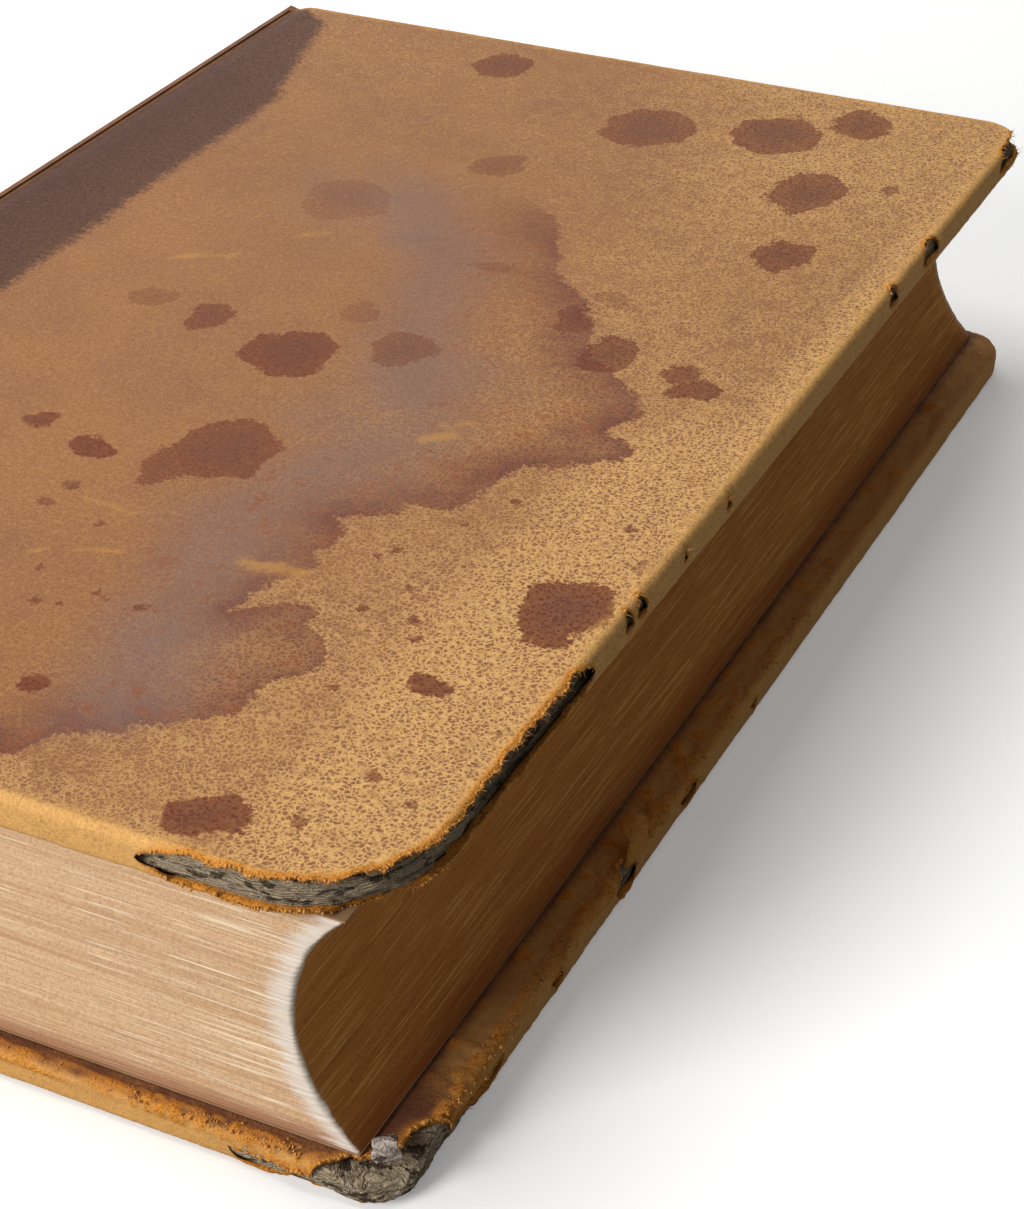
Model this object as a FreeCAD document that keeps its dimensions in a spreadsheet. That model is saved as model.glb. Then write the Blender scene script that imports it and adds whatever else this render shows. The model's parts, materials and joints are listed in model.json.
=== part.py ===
import math
import os

import FreeCAD
import Part
import Sketcher

# Antique leather book, closed and lying on its back cover, in millimetres.
# The row frame has +Z up, +Y from the tail to the head and +X from the spine to the fore edge,
# with its origin on the ground at the middle of the book.
# Every sub-part is drawn in the book's own frame and its Placement carries it to the row frame:
# there x is 0 at the hinge lines, y is 0 at the tail of the covers and z is 0 on the ground.

doc = FreeCAD.newDocument("antique_leather_book")


# Driving dimensions

SIZES = [
    ("cover_height", 240.0, "cover from tail to head"),
    ("cover_width", 149.6, "cover from the hinge line to the fore edge"),
    ("leather_thickness", 0.8, "skin on the outside and round the edges of the boards"),
    ("board_thickness", 3.8, "pulp board"),
    ("turnin_thickness", 0.5, "leather pared thin where it is turned in"),
    ("turnin_width", 14.0, "leather turned in over the inner face"),
    ("edge_round", 1.2, "radius of the cover's outer arris"),
    ("far_corner", 8.0, "corner radius at the head"),
    ("front_worn_corner", 18.0, "rubbed corner of the front cover at the tail"),
    ("back_worn_corner", 6.0, "rubbed corner of the back cover at the tail"),
    ("board_setback", 2.4, "hinge line to the spine edge of a board"),
    ("hinge_clearance", 0.3, "hinge line to the leather of a cover"),
    ("cover_clearance", 0.3, "closed cover to the end leaf"),
    ("block_thickness", 35.9, "pages pressed together"),
    ("flyleaf_thickness", 0.25, "free end leaf"),
    ("end_square", 3.0, "cover beyond the pages at the head and tail"),
    ("fore_square", 6.3, "cover beyond the pages at the fore edge"),
    ("fore_hollow", 8.0, "depth of the hollow fore edge"),
    ("spine_round", 8.0, "height of the round of the spine"),
    ("shoulder_inset", 0.6, "hinge line to the tip of a shoulder"),
    ("shoulder_root", 1.4, "hinge line to the foot of a shoulder"),
    ("joint_drop", 0.4, "leather of the spine below the cover at the joint"),
    ("joint_clearance", 0.15, "leather of the spine to the hinge line"),
    ("spine_leather", 1.0, "leather over the spine"),
    ("spine_end_inset", 0.4, "leather of the spine short of the cover's ends"),
    ("lining_thickness", 0.5, "paper lining between the sewing cords"),
    ("lining_margin", 0.6, "end of a lining short of a sewing cord"),
    ("cord_diameter", 2.6, "sewing cord"),
    ("cord_span", 18.0, "mid height to where a raised band sinks into the spine"),
    ("first_cord", 38.0, "tail of the cover to the first sewing cord"),
    ("headband_diameter", 2.2, "headband"),
    ("seat_clearance", 0.05, "between pieces that are pasted or sewn together"),
    ("bare_lip", 0.4, "turned-in leather left under the bare edge of the front board"),
    ("curl_radius", 1.3, "flake of pulp that stands up in a curl"),
    ("curl_wall", 0.5, "thickness of that flake"),
    ("curl_height", 4.6, "height of that flake"),
    ("curl_from_fore", 3.2, "fore edge to the middle of the curl"),
    ("curl_from_tail", 4.6, "tail to the middle of the curl"),
    ("flap_length", 4.6, "tongue of torn leather at the fore edge"),
    ("flap_height", 3.2, "height of that tongue"),
    ("flap_from_fore", 0.4, "fore edge to the foot of the tongue"),
    ("flap_from_tail", 69.3, "tail to the foot of the tongue"),
    ("root_depth", 0.3, "how far the curl and the tongue go down into what they grow from"),
    ("overcut", 1.0, "how far a cutting tool reaches past what it cuts"),
]
CORD_COUNT = 5
CURL_TURN = 230
FLAP_TURN = 132
CORD_SHORT = "-0.5"
CHANNEL_LONG = "1"

sizes = doc.addObject("Spreadsheet::Sheet", "sizes")
for row, (alias, number, meaning) in enumerate(SIZES, start=1):
    sizes.set(f"A{row}", meaning)
    sizes.set(f"B{row}", str(number))
    sizes.setAlias(f"B{row}", alias)
doc.recompute()


# Places worked out from the sizes

PLACES = [
    ("cover_thickness", "sizes.leather_thickness + sizes.board_thickness + sizes.turnin_thickness"),
    ("block_bottom", "cover_thickness + sizes.cover_clearance + sizes.flyleaf_thickness"),
    ("block_top", "block_bottom + sizes.block_thickness"),
    ("book_top", "block_top + block_bottom"),
    ("middle_height", "book_top / 2"),
    ("front_inner", "book_top - cover_thickness"),
    ("front_board_bottom", "front_inner + sizes.turnin_thickness"),
    ("back_board_top", "cover_thickness - sizes.turnin_thickness"),
    ("block_length", "sizes.cover_height - 2 * sizes.end_square"),
    ("block_fore", "sizes.cover_width - sizes.fore_square"),
    ("fore_radius", "(sizes.block_thickness ^ 2 / 4 + sizes.fore_hollow ^ 2) / (2 * sizes.fore_hollow)"),
    ("shoulder_depth", "sizes.joint_drop + sizes.spine_leather + sizes.lining_thickness"),
    ("shoulder_half", "middle_height - shoulder_depth"),
    ("shoulder_top", "book_top - shoulder_depth"),
    ("shoulder_tip", "-sizes.shoulder_inset"),
    ("spine_radius", "(shoulder_half ^ 2 + sizes.spine_round ^ 2) / (2 * sizes.spine_round)"),
    ("spine_axis", "spine_radius - sizes.spine_round - sizes.shoulder_inset"),
    ("lining_inner", "spine_radius + sizes.seat_clearance"),
    ("lining_outer", "lining_inner + sizes.lining_thickness"),
    ("lining_inner_x", "spine_axis - sqrt(lining_inner ^ 2 - shoulder_half ^ 2)"),
    ("lining_outer_x", "spine_axis - sqrt(lining_outer ^ 2 - shoulder_half ^ 2)"),
    ("skin_inner", "lining_outer + sizes.seat_clearance"),
    ("skin_outer", "skin_inner + sizes.spine_leather"),
    ("skin_turned", "skin_inner - sizes.spine_leather"),
    ("channel_diameter", "sizes.cord_diameter + 2 * sizes.seat_clearance"),
    ("band_diameter", "channel_diameter + 2 * sizes.spine_leather"),
    ("cord_middle", "sizes.shoulder_inset + sizes.spine_round + channel_diameter / 2"),
    ("spine_reach", "cord_middle + band_diameter / 2"),
    ("panel_at_span", "sqrt(skin_outer ^ 2 - sizes.cord_span ^ 2) - spine_axis"),
    ("band_rise", "spine_reach - panel_at_span"),
    ("band_ring", "(sizes.cord_span ^ 2 + band_rise ^ 2) / (2 * band_rise)"),
    ("cord_ring", "band_ring - band_diameter / 2"),
    ("cord_axis", "cord_ring - cord_middle"),
    ("cord_half_angle", "asin(sizes.cord_span / band_ring) / 1deg"),
    ("skin_half_angle", "asin(middle_height / skin_inner) / 1deg"),
    ("cord_pitch", f"(sizes.cover_height - 2 * sizes.first_cord) / {CORD_COUNT - 1}"),
    ("headband_ring", "skin_turned - sizes.seat_clearance - sizes.headband_diameter / 2"),
    ("headband_half_angle", "asin((shoulder_half - sizes.headband_diameter) / headband_ring) / 1deg"),
    ("headband_inset", "sizes.end_square - sizes.headband_diameter / 2 - sizes.seat_clearance"),
    ("origin_x", "(spine_reach - sizes.cover_width) / 2"),
    ("origin_y", "-sizes.cover_height / 2"),
]

places = doc.addObject("Spreadsheet::Sheet", "places")
for row, (alias, formula) in enumerate(PLACES, start=1):
    places.set(f"A{row}", alias.replace("_", " "))
    places.set(f"B{row}", "=" + formula)
    places.setAlias(f"B{row}", alias)
    doc.recompute()


# Helpers

def measure(expression):
    """The number that an expression over the two sheets has now."""
    return float(sizes.evalExpression(expression))


def bind(thing, bindings):
    """Bind properties of an object to expressions over the two sheets."""
    for name, expression in bindings.items():
        thing.setExpression(name, expression)


def place(thing, along_x="0", along_y="0", along_z="0"):
    """Carry a sub-part from the book's frame to the row frame, after these offsets in the book's frame."""
    bind(
        thing,
        {
            "Placement.Base.x": f"places.origin_x + {along_x}",
            "Placement.Base.y": f"places.origin_y + {along_y}",
            "Placement.Base.z": f"0 + {along_z}",
        },
    )


def plane_of(body, role):
    """The origin plane of a body that has this role."""
    return next(plane for plane in body.Origin.OriginFeatures if plane.Role == role)


def arc_between(start, end, radius, turn):
    """The shorter arc from start to end. It turns left where turn is 1 and right where it is -1."""
    chord = end - start
    rise = math.sqrt(max(radius**2 - chord.Length**2 / 4, 0.0))
    left = FreeCAD.Vector(-chord.y, chord.x, 0).normalize()
    centre = start + chord / 2 + left * rise * turn
    first, last = (start, end) if turn > 0 else (end, start)
    angles = [math.atan2(point.y - centre.y, point.x - centre.x) for point in (first, last)]
    circle = Part.Circle(centre, FreeCAD.Vector(0, 0, 1), radius)
    return Part.ArcOfCircle(circle, angles[0], angles[1])


def draw_outline(sketch, corners):
    """Draw a closed outline through corners of (x, y, radius, turn), each a bound expression.

    The radius belongs to the side from that corner to the next, and is None where that side is straight.
    """
    points = [FreeCAD.Vector(measure(x), measure(y), 0) for x, y, _, _ in corners]
    ends = []
    for index, (_, _, radius, turn) in enumerate(corners):
        start, end = points[index], points[(index + 1) % len(points)]
        if radius is None:
            side = sketch.addGeometry(Part.LineSegment(start, end))
            ends.append((side, 1, 2))
        else:
            side = sketch.addGeometry(arc_between(start, end, measure(radius), turn))
            ends.append((side, 1, 2) if turn > 0 else (side, 2, 1))
    for index, (side, first, last) in enumerate(ends):
        following, following_first, _ = ends[(index + 1) % len(ends)]
        sketch.addConstraint(Sketcher.Constraint("Coincident", side, last, following, following_first))
    for index, (x, y, radius, _) in enumerate(corners):
        side, first, _ = ends[index]
        for kind, expression in (("DistanceX", x), ("DistanceY", y)):
            value = measure(expression)
            rule = sketch.addConstraint(Sketcher.Constraint(kind, -1, 1, side, first, value))
            sketch.setExpression(f"Constraints[{rule}]", expression)
        if radius is not None:
            rule = sketch.addConstraint(Sketcher.Constraint("Radius", side, measure(radius)))
            sketch.setExpression(f"Constraints[{rule}]", radius)
    return sketch


def body_sketch(body, name, role):
    """An empty sketch on one of the body's origin planes."""
    sketch = body.newObject("Sketcher::SketchObject", name)
    sketch.AttachmentSupport = [(plane_of(body, role), "")]
    sketch.MapMode = "FlatFace"
    return sketch


def padded_plate(name, corners, length, role="XY_Plane"):
    """A body that is one outline made this thick: up from XY_Plane, or towards the head from XZ_Plane."""
    body = doc.addObject("PartDesign::Body", name)
    sketch = draw_outline(body_sketch(body, name + "_outline", role), corners)
    pad = body.newObject("PartDesign::Pad", name + "_pad")
    pad.Profile = sketch
    pad.Reversed = role == "XZ_Plane"
    bind(pad, {"Length": length})
    body.Tip = pad
    return body


def turned_round_spine(name, half_angle):
    """A body with an empty sketch, and its revolution about the axis of the spine, even about mid height."""
    body = doc.addObject("PartDesign::Body", name)
    sketch = body_sketch(body, name + "_section", "XY_Plane")
    turned = body.newObject("PartDesign::Revolution", name + "_turned")
    turned.Profile = sketch
    turned.ReferenceAxis = (sketch, ["V_Axis"])
    turned.Midplane = True
    bind(turned, {"Angle": f"2 * {half_angle}"})
    body.Tip = turned
    return body, sketch


def box(name, size, offset):
    """A box of this size, with its lowest corner at this offset in the book's frame."""
    thing = doc.addObject("Part::Box", name)
    bind(thing, dict(zip(("Length", "Width", "Height"), size)))
    place(thing, *offset)
    return thing


def cut(name, base, tools):
    """The base with all the tools taken away."""
    joined = tools[0]
    if len(tools) > 1:
        joined = doc.addObject("Part::MultiFuse", name + "_tools")
        joined.Shapes = tools
    result = doc.addObject("Part::Cut", name)
    result.Base = base
    result.Tool = joined
    return result


def fuse(name, shapes):
    """These shapes as one."""
    result = doc.addObject("Part::MultiFuse", name)
    result.Shapes = shapes
    return result


NODES = []


def keep(thing, label):
    """Make this object a node of the book, under this label."""
    thing.Label = label
    NODES.append(thing)
    return thing


# Pages: rounded and backed at the spine, hollow at the fore edge


def make_text_block():
    corners = [
        ("sizes.shoulder_root", "places.block_bottom", None, 0),
        ("places.block_fore", "places.block_bottom", "places.fore_radius", -1),
        ("places.block_fore", "places.block_top", None, 0),
        ("sizes.shoulder_root", "places.block_top", None, 0),
        ("places.shoulder_tip", "places.shoulder_top", "places.spine_radius", 1),
        ("places.shoulder_tip", "places.shoulder_depth", None, 0),
    ]
    block = padded_plate("text_block_body", corners, "places.block_length", "XZ_Plane")
    place(block, along_y="sizes.end_square")
    grooves = cord_rings("cord_groove", "places.channel_diameter")
    keep(cut("text_block_grooved", block, grooves), "text_block")


def make_flyleaf(label, bottom):
    size = ("places.block_fore - sizes.shoulder_root", "places.block_length", "sizes.flyleaf_thickness")
    keep(box(label + "_sheet", size, ("sizes.shoulder_root", "sizes.end_square", bottom)), label)


# Covers: a pulp board in a leather skin that is turned in over its inner face


def cover_corners(spine_edge, margin, worn_corner):
    """A cover's plan: square at the spine, rounded at the head and rubbed round at the tail."""
    fore = f"sizes.cover_width - {margin}"
    head = f"sizes.cover_height - {margin}"
    worn, far = f"({worn_corner} - {margin})", f"(sizes.far_corner - {margin})"
    return [
        (spine_edge, margin, None, 0),
        (f"{fore} - {worn}", margin, worn, 1),
        (fore, f"{margin} + {worn}", None, 0),
        (fore, f"{head} - {far}", far, 1),
        (f"{fore} - {far}", head, None, 0),
        (spine_edge, head, None, 0),
    ]


def round_outer_arris(body, outer_height):
    """Round the edges of a padded cover on its outer face, all but the one at the hinge line."""
    doc.recompute()
    pad = body.Tip
    hinge_edge = measure("sizes.hinge_clearance")
    names = []
    for index, edge in enumerate(pad.Shape.Edges, start=1):
        limits = edge.BoundBox
        flat = abs(limits.ZMin - outer_height) < 1e-6 and abs(limits.ZMax - outer_height) < 1e-6
        if flat and limits.XMax > hinge_edge + 1e-6:
            names.append(f"Edge{index}")
    rounding = body.newObject("PartDesign::Fillet", body.Name + "_round")
    rounding.Base = (pad, names)
    bind(rounding, {"Radius": "sizes.edge_round"})
    body.Tip = rounding


# Worn places, as ragged outlines in mm from the corner of the cover where the tail meets the fore edge

FRONT_WEAR = [
    (-30.8, -2.0), (-30.2, 1.1), (-27.4, 1.6), (-24.0, 1.2), (-19.5, 1.5), (-15.0, 2.2),
    (-11.4, 3.5), (-8.6, 5.0), (-6.2, 7.1), (-4.2, 9.7), (-2.9, 12.8), (-1.9, 17.0),
    (-1.5, 22.0), (-1.2, 27.5), (-1.7, 33.0), (-1.3, 39.0), (-1.9, 45.0), (-1.6, 51.0),
    (-1.2, 55.6), (2.0, 56.6), (2.0, -2.0),
]
BACK_WEAR_OUTSIDE = [
    (-22.0, -2.0), (-21.6, 1.1), (-18.0, 1.5), (-13.0, 1.2), (-9.0, 1.8), (-6.0, 2.6),
    (-3.8, 4.4), (-2.6, 7.5), (-2.0, 12.0), (-2.4, 17.0), (-1.7, 22.0), (-2.2, 27.5),
    (2.0, 29.0), (2.0, -2.0),
]
BACK_WEAR_INSIDE = [
    (-9.6, -2.0), (-9.2, 1.6), (-7.4, 3.2), (-5.6, 5.6), (-4.8, 9.0), (-4.0, 13.0),
    (-3.4, 18.0), (-2.9, 23.5), (2.0, 25.0), (2.0, -2.0),
]
FORE_EDGE_HOLES = [(66.8, 1.2), (70.6, 1.6)]


def wear_tool(name, outline, bottom, height):
    """A ragged outline at the worn corner of a cover, made this high from this height."""
    corners = [(str(x), str(y), None, 0) for x, y in outline]
    tool = padded_plate(name, corners, height)
    place(tool, along_x="sizes.cover_width", along_z=bottom)
    return tool


def front_wear_tools():
    """Leather rubbed off the corner and the edges by it, and two holes further along the fore edge.

    A lip of the turned-in leather is left under the bare edge of the board.
    """
    bottom = "places.front_inner + sizes.bare_lip"
    height = "places.cover_thickness"
    tools = [wear_tool("front_wear", FRONT_WEAR, bottom, height)]
    for index, (along_y, radius) in enumerate(FORE_EDGE_HOLES, start=1):
        hole = doc.addObject("Part::Cylinder", f"fore_edge_hole_{index}")
        hole.Radius = radius
        bind(hole, {"Height": height})
        place(hole, "sizes.cover_width", str(along_y), bottom)
        tools.append(hole)
    return tools


def back_wear_tools():
    """Leather rubbed off the lower edges by the corner, and off the corner itself to the inner face."""
    half = "sizes.overcut + places.cover_thickness / 2"
    whole = "sizes.overcut + places.cover_thickness"
    outside = wear_tool("back_wear_outside", BACK_WEAR_OUTSIDE, "-sizes.overcut", half)
    inside = wear_tool("back_wear_inside", BACK_WEAR_INSIDE, "0", whole)
    return [outside, inside]


def make_pulp_curl():
    """A flake of the back board that stands up in a curl at the bare corner."""
    outer = doc.addObject("Part::Cylinder", "pulp_curl_outer")
    inner = doc.addObject("Part::Cylinder", "pulp_curl_inner")
    for cylinder, radius in ((outer, "sizes.curl_radius"), (inner, "sizes.curl_radius - sizes.curl_wall")):
        bind(cylinder, {"Radius": radius, "Height": "sizes.curl_height"})
        cylinder.Angle = CURL_TURN
        foot = "places.back_board_top - sizes.root_depth"
        place(cylinder, "sizes.cover_width - sizes.curl_from_fore", "sizes.curl_from_tail", foot)
    return cut("pulp_curl", outer, [inner])


def make_leather_flap():
    """A tongue of torn leather that stands up from the turn-in of the back cover at the fore edge."""
    flap = doc.addObject("Part::Box", "leather_flap")
    bind(flap, {"Length": "sizes.flap_length", "Height": "sizes.flap_height"})
    bind(flap, {"Width": "sizes.leather_thickness"})
    flap.Placement.Rotation = FreeCAD.Rotation(FreeCAD.Vector(0, 0, 1), FLAP_TURN)
    foot = "places.cover_thickness - sizes.root_depth"
    place(flap, "sizes.cover_width - sizes.flap_from_fore", "sizes.flap_from_tail", foot)
    return flap


def make_cover(side, worn_corner, skin_bottom, board_bottom, inner_bottom, wear_tools, outer_at_top):
    """The board, the leather and the pastedown of one cover, from the lowest height of each layer."""
    margin = "sizes.leather_thickness"
    board = padded_plate(
        side + "_board_plate",
        cover_corners("sizes.board_setback", margin, worn_corner),
        "sizes.board_thickness",
    )
    place(board, along_z=board_bottom)

    hide = padded_plate(
        side + "_hide",
        cover_corners("sizes.hinge_clearance", "0.0", worn_corner),
        "places.cover_thickness",
    )
    round_outer_arris(hide, measure("places.cover_thickness") if outer_at_top else 0.0)
    place(hide, along_z=skin_bottom)
    board_space = padded_plate(
        side + "_board_space",
        cover_corners("-sizes.overcut", margin, worn_corner),
        "sizes.board_thickness",
    )
    place(board_space, along_z=board_bottom)

    window_fore = "(sizes.cover_width - sizes.turnin_width)"
    window_length = "(sizes.cover_height - 2 * sizes.turnin_width)"
    window_size = (f"{window_fore} - sizes.board_setback", window_length, "sizes.turnin_thickness")
    window_corner = ("sizes.board_setback", "sizes.turnin_width", inner_bottom)
    pastedown = box(side + "_pastedown_sheet", window_size, window_corner)
    window = box(
        side + "_window",
        (f"{window_fore} + sizes.overcut", window_length, "sizes.turnin_thickness"),
        ("-sizes.overcut", "sizes.turnin_width", inner_bottom),
    )
    relief_length = "sizes.cover_height - 2 * sizes.leather_thickness"
    joint_relief = box(
        side + "_joint_relief",
        ("sizes.overcut + sizes.board_setback", relief_length, "sizes.turnin_thickness"),
        ("-sizes.overcut", "sizes.leather_thickness", inner_bottom),
    )
    leather = cut(side + "_leather", hide, [board_space, window, joint_relief] + wear_tools)
    return board, leather, pastedown


def make_back_cover():
    board, leather, pastedown = make_cover(
        "back",
        "sizes.back_worn_corner",
        "0",
        "sizes.leather_thickness",
        "places.back_board_top",
        back_wear_tools(),
        outer_at_top=False,
    )
    keep(fuse("back_board_with_curl", [board, make_pulp_curl()]), "back_board")
    keep(fuse("back_leather_with_flap", [leather, make_leather_flap()]), "back_cover_leather")
    keep(pastedown, "back_pastedown")


def make_front_cover():
    board, leather, pastedown = make_cover(
        "front",
        "sizes.front_worn_corner",
        "places.front_inner",
        "places.front_board_bottom",
        "places.front_inner",
        front_wear_tools(),
        outer_at_top=True,
    )
    keep(board, "front_board")
    keep(leather, "front_cover_leather")
    keep(pastedown, "front_pastedown")


# Spine: cords and linings on the back of the pages, headbands at the ends, leather over all


def cord_height(index):
    """Distance of a sewing cord from the tail of the cover, as an expression. The first has index 0."""
    return f"sizes.first_cord + {index} * places.cord_pitch"


def bent_cord(name, ring, diameter, half_angle, axis, along_y):
    """A round cord bent in an arc of this radius about an axis along the book, even about mid height."""
    body, sketch = turned_round_spine(name, half_angle)
    centre = FreeCAD.Vector(-measure(ring), 0, 0)
    circle = Part.Circle(centre, FreeCAD.Vector(0, 0, 1), measure(diameter) / 2)
    side = sketch.addGeometry(circle)
    sketch.addConstraint(Sketcher.Constraint("PointOnObject", side, 3, -1))
    reach = sketch.addConstraint(Sketcher.Constraint("DistanceX", side, 3, -1, 1, measure(ring)))
    sketch.setExpression(f"Constraints[{reach}]", ring)
    size = sketch.addConstraint(Sketcher.Constraint("Diameter", side, measure(diameter)))
    sketch.setExpression(f"Constraints[{size}]", diameter)
    place(body, axis, along_y, "places.middle_height")
    return body


def cord_rings(name, diameter, reach="0"):
    """One bent cord of this diameter at each sewing cord, longer than the cord by this angle at each end."""
    half_angle = f"(places.cord_half_angle + {reach})"
    return [
        bent_cord(
            f"{name}_{index + 1}",
            "places.cord_ring",
            diameter,
            half_angle,
            "places.cord_axis",
            cord_height(index),
        )
        for index in range(CORD_COUNT)
    ]


def make_sewing_cords():
    for index, cord in enumerate(cord_rings("cord", "sizes.cord_diameter", CORD_SHORT), start=1):
        keep(cord, f"sewing_cord_{index}")


def make_spine_linings():
    """Paper strips across the spine, one in each panel between the cords and beyond the last ones."""
    gap = "(sizes.cord_diameter / 2 + sizes.lining_margin)"
    tail, head = "sizes.end_square", "sizes.cover_height - sizes.end_square"
    corners = [
        ("places.lining_inner_x", "places.shoulder_top", "places.lining_inner", 1),
        ("places.lining_inner_x", "places.shoulder_depth", None, 0),
        ("places.lining_outer_x", "places.shoulder_depth", "places.lining_outer", -1),
        ("places.lining_outer_x", "places.shoulder_top", None, 0),
    ]
    for index in range(CORD_COUNT + 1):
        start = tail if index == 0 else f"{cord_height(index - 1)} + {gap}"
        end = head if index == CORD_COUNT else f"{cord_height(index)} - {gap}"
        name = f"spine_lining_{index + 1}"
        lining = padded_plate(name + "_body", corners, f"({end}) - ({start})", "XZ_Plane")
        place(lining, along_y=start)
        keep(lining, name)


def make_headbands():
    for end, along_y in (
        ("tail", "places.headband_inset"),
        ("head", "sizes.cover_height - places.headband_inset"),
    ):
        band = bent_cord(
            f"{end}_headband",
            "places.headband_ring",
            "sizes.headband_diameter",
            "places.headband_half_angle",
            "places.spine_axis",
            along_y,
        )
        keep(band, f"headband_{end}")


def spine_shell(name, inner, outer, tail, head):
    """A part of a tube about the spine's axis between two radii and two distances from the tail."""
    body, sketch = turned_round_spine(name, "places.skin_half_angle")
    corners = [(f"-{outer}", tail), (f"-{inner}", tail), (f"-{inner}", head), (f"-{outer}", head)]
    draw_outline(sketch, [(x, y, None, 0) for x, y in corners])
    place(body, "places.spine_axis", "0", "places.middle_height")
    return body


def make_spine_leather():
    """Leather moulded over the cords into raised bands, doubled at both ends where it is turned in."""
    tail, head = "sizes.spine_end_inset", "(sizes.cover_height - sizes.spine_end_inset)"
    turned_tail = "(sizes.end_square - sizes.seat_clearance)"
    turned_head = "(sizes.cover_height - sizes.end_square + sizes.seat_clearance)"
    panels = spine_shell("spine_panels", "places.skin_inner", "places.skin_outer", tail, head)
    bands = cord_rings("raised_band", "places.band_diameter")
    core = spine_shell("spine_core", "places.skin_inner / 2", "places.skin_inner", turned_tail, turned_head)
    channels = cord_rings("cord_channel", "places.channel_diameter", CHANNEL_LONG)
    skin = cut("spine_skin", fuse("spine_skin_outside", [panels] + bands), [core] + channels)
    turned_ends = [
        spine_shell(f"spine_turn_{end}", "places.skin_turned", "places.skin_inner", start, finish)
        for end, start, finish in (("tail", tail, turned_tail), ("head", turned_head, head))
    ]
    between_joints = box(
        "between_joints",
        (
            "2 * places.spine_reach",
            "sizes.cover_height",
            "places.book_top - 2 * sizes.joint_drop",
        ),
        ("-sizes.joint_clearance - 2 * places.spine_reach", "0", "sizes.joint_drop"),
    )
    leather = doc.addObject("Part::Common", "spine_leather_common")
    leather.Base = fuse("spine_skin_turned_in", [skin] + turned_ends)
    leather.Tool = between_joints
    keep(leather, "spine_leather")


make_text_block()
make_flyleaf("back_flyleaf", "places.cover_thickness + sizes.cover_clearance")
make_flyleaf("front_flyleaf", "places.block_top")
make_back_cover()
make_front_cover()
make_sewing_cords()
make_spine_linings()
make_headbands()
make_spine_leather()


# Checks and files

doc.recompute()
for thing in doc.Objects:
    if "Invalid" in thing.State or "Error" in thing.State:
        raise RuntimeError(f"{thing.Name} did not recompute")
for node in NODES:
    if node.Shape.isNull() or not node.Shape.isValid():
        raise RuntimeError(f"{node.Label} has no valid shape")

os.makedirs("parts", exist_ok=True)
for node in NODES:
    node.Shape.exportStep(f"parts/{node.Label}.step")
    limits = node.Shape.optimalBoundingBox()
    print(
        f"{node.Label}: {len(node.Shape.Solids)} solid(s), {node.Shape.Volume:.1f} mm3,"
        f" x {limits.XMin:.2f} to {limits.XMax:.2f}, y {limits.YMin:.2f} to {limits.YMax:.2f},"
        f" z {limits.ZMin:.2f} to {limits.ZMax:.2f}"
    )
print(f"{len(NODES)} nodes, the hinge lines at x {measure('places.origin_x'):.3f}")
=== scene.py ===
# %% [markdown]
# # An old book in worn calf
#
# The book lies closed on its back cover. Its pages, boards and leather are packed as plain solids,
# the frame, and this script gives them the look of a binding that has been handled for a century:
# stained and rubbed leather, torn corners with the pulp board showing, and pages browned at their edges.
# The frame is loaded first and never moves. Every new piece is drawn round it.

import itertools
import json
import math

import bpy
import numpy as np
from mathutils import Matrix, Vector


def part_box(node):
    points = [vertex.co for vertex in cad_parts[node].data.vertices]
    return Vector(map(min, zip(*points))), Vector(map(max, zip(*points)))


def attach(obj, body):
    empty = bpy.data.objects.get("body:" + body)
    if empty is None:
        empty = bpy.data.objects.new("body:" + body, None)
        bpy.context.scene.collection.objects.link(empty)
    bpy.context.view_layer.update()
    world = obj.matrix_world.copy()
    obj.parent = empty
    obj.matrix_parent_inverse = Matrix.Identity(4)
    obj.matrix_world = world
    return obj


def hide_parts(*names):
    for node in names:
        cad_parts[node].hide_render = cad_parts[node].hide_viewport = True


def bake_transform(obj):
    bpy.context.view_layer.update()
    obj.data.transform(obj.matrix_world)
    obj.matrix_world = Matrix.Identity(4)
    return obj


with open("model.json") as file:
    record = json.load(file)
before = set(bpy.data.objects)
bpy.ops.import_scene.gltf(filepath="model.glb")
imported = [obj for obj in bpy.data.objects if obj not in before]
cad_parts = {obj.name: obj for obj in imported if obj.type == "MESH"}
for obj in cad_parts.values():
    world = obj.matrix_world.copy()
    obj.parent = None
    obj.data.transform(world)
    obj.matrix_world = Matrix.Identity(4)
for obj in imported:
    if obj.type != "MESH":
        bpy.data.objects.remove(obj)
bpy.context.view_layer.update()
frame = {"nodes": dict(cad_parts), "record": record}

# %% [markdown]
# ## Measures
#
# A bookbinder measures in millimetres from the joint, so the shapes below are drawn in the book's own
# frame: x runs from the hinge line to the fore edge, y from the tail to the head, and z up from the table.
# The numbers come from the frame, so that a piece always fits the solid that it dresses.

# %% Read the book's measures from the frame
MM = 0.001
HINGES = {joint["name"]: joint for joint in frame["record"]["behaviour"]["joints"]}
ORIGIN = np.array([HINGES["front_hinge"]["pos_m"][0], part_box("back_cover_leather")[0][1], 0.0]) / MM


def limits(part):
    """Lowest and highest corner of a CAD node, in mm in the book's frame."""
    low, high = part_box(part)
    return np.array(low) / MM - ORIGIN, np.array(high) / MM - ORIGIN


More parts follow.
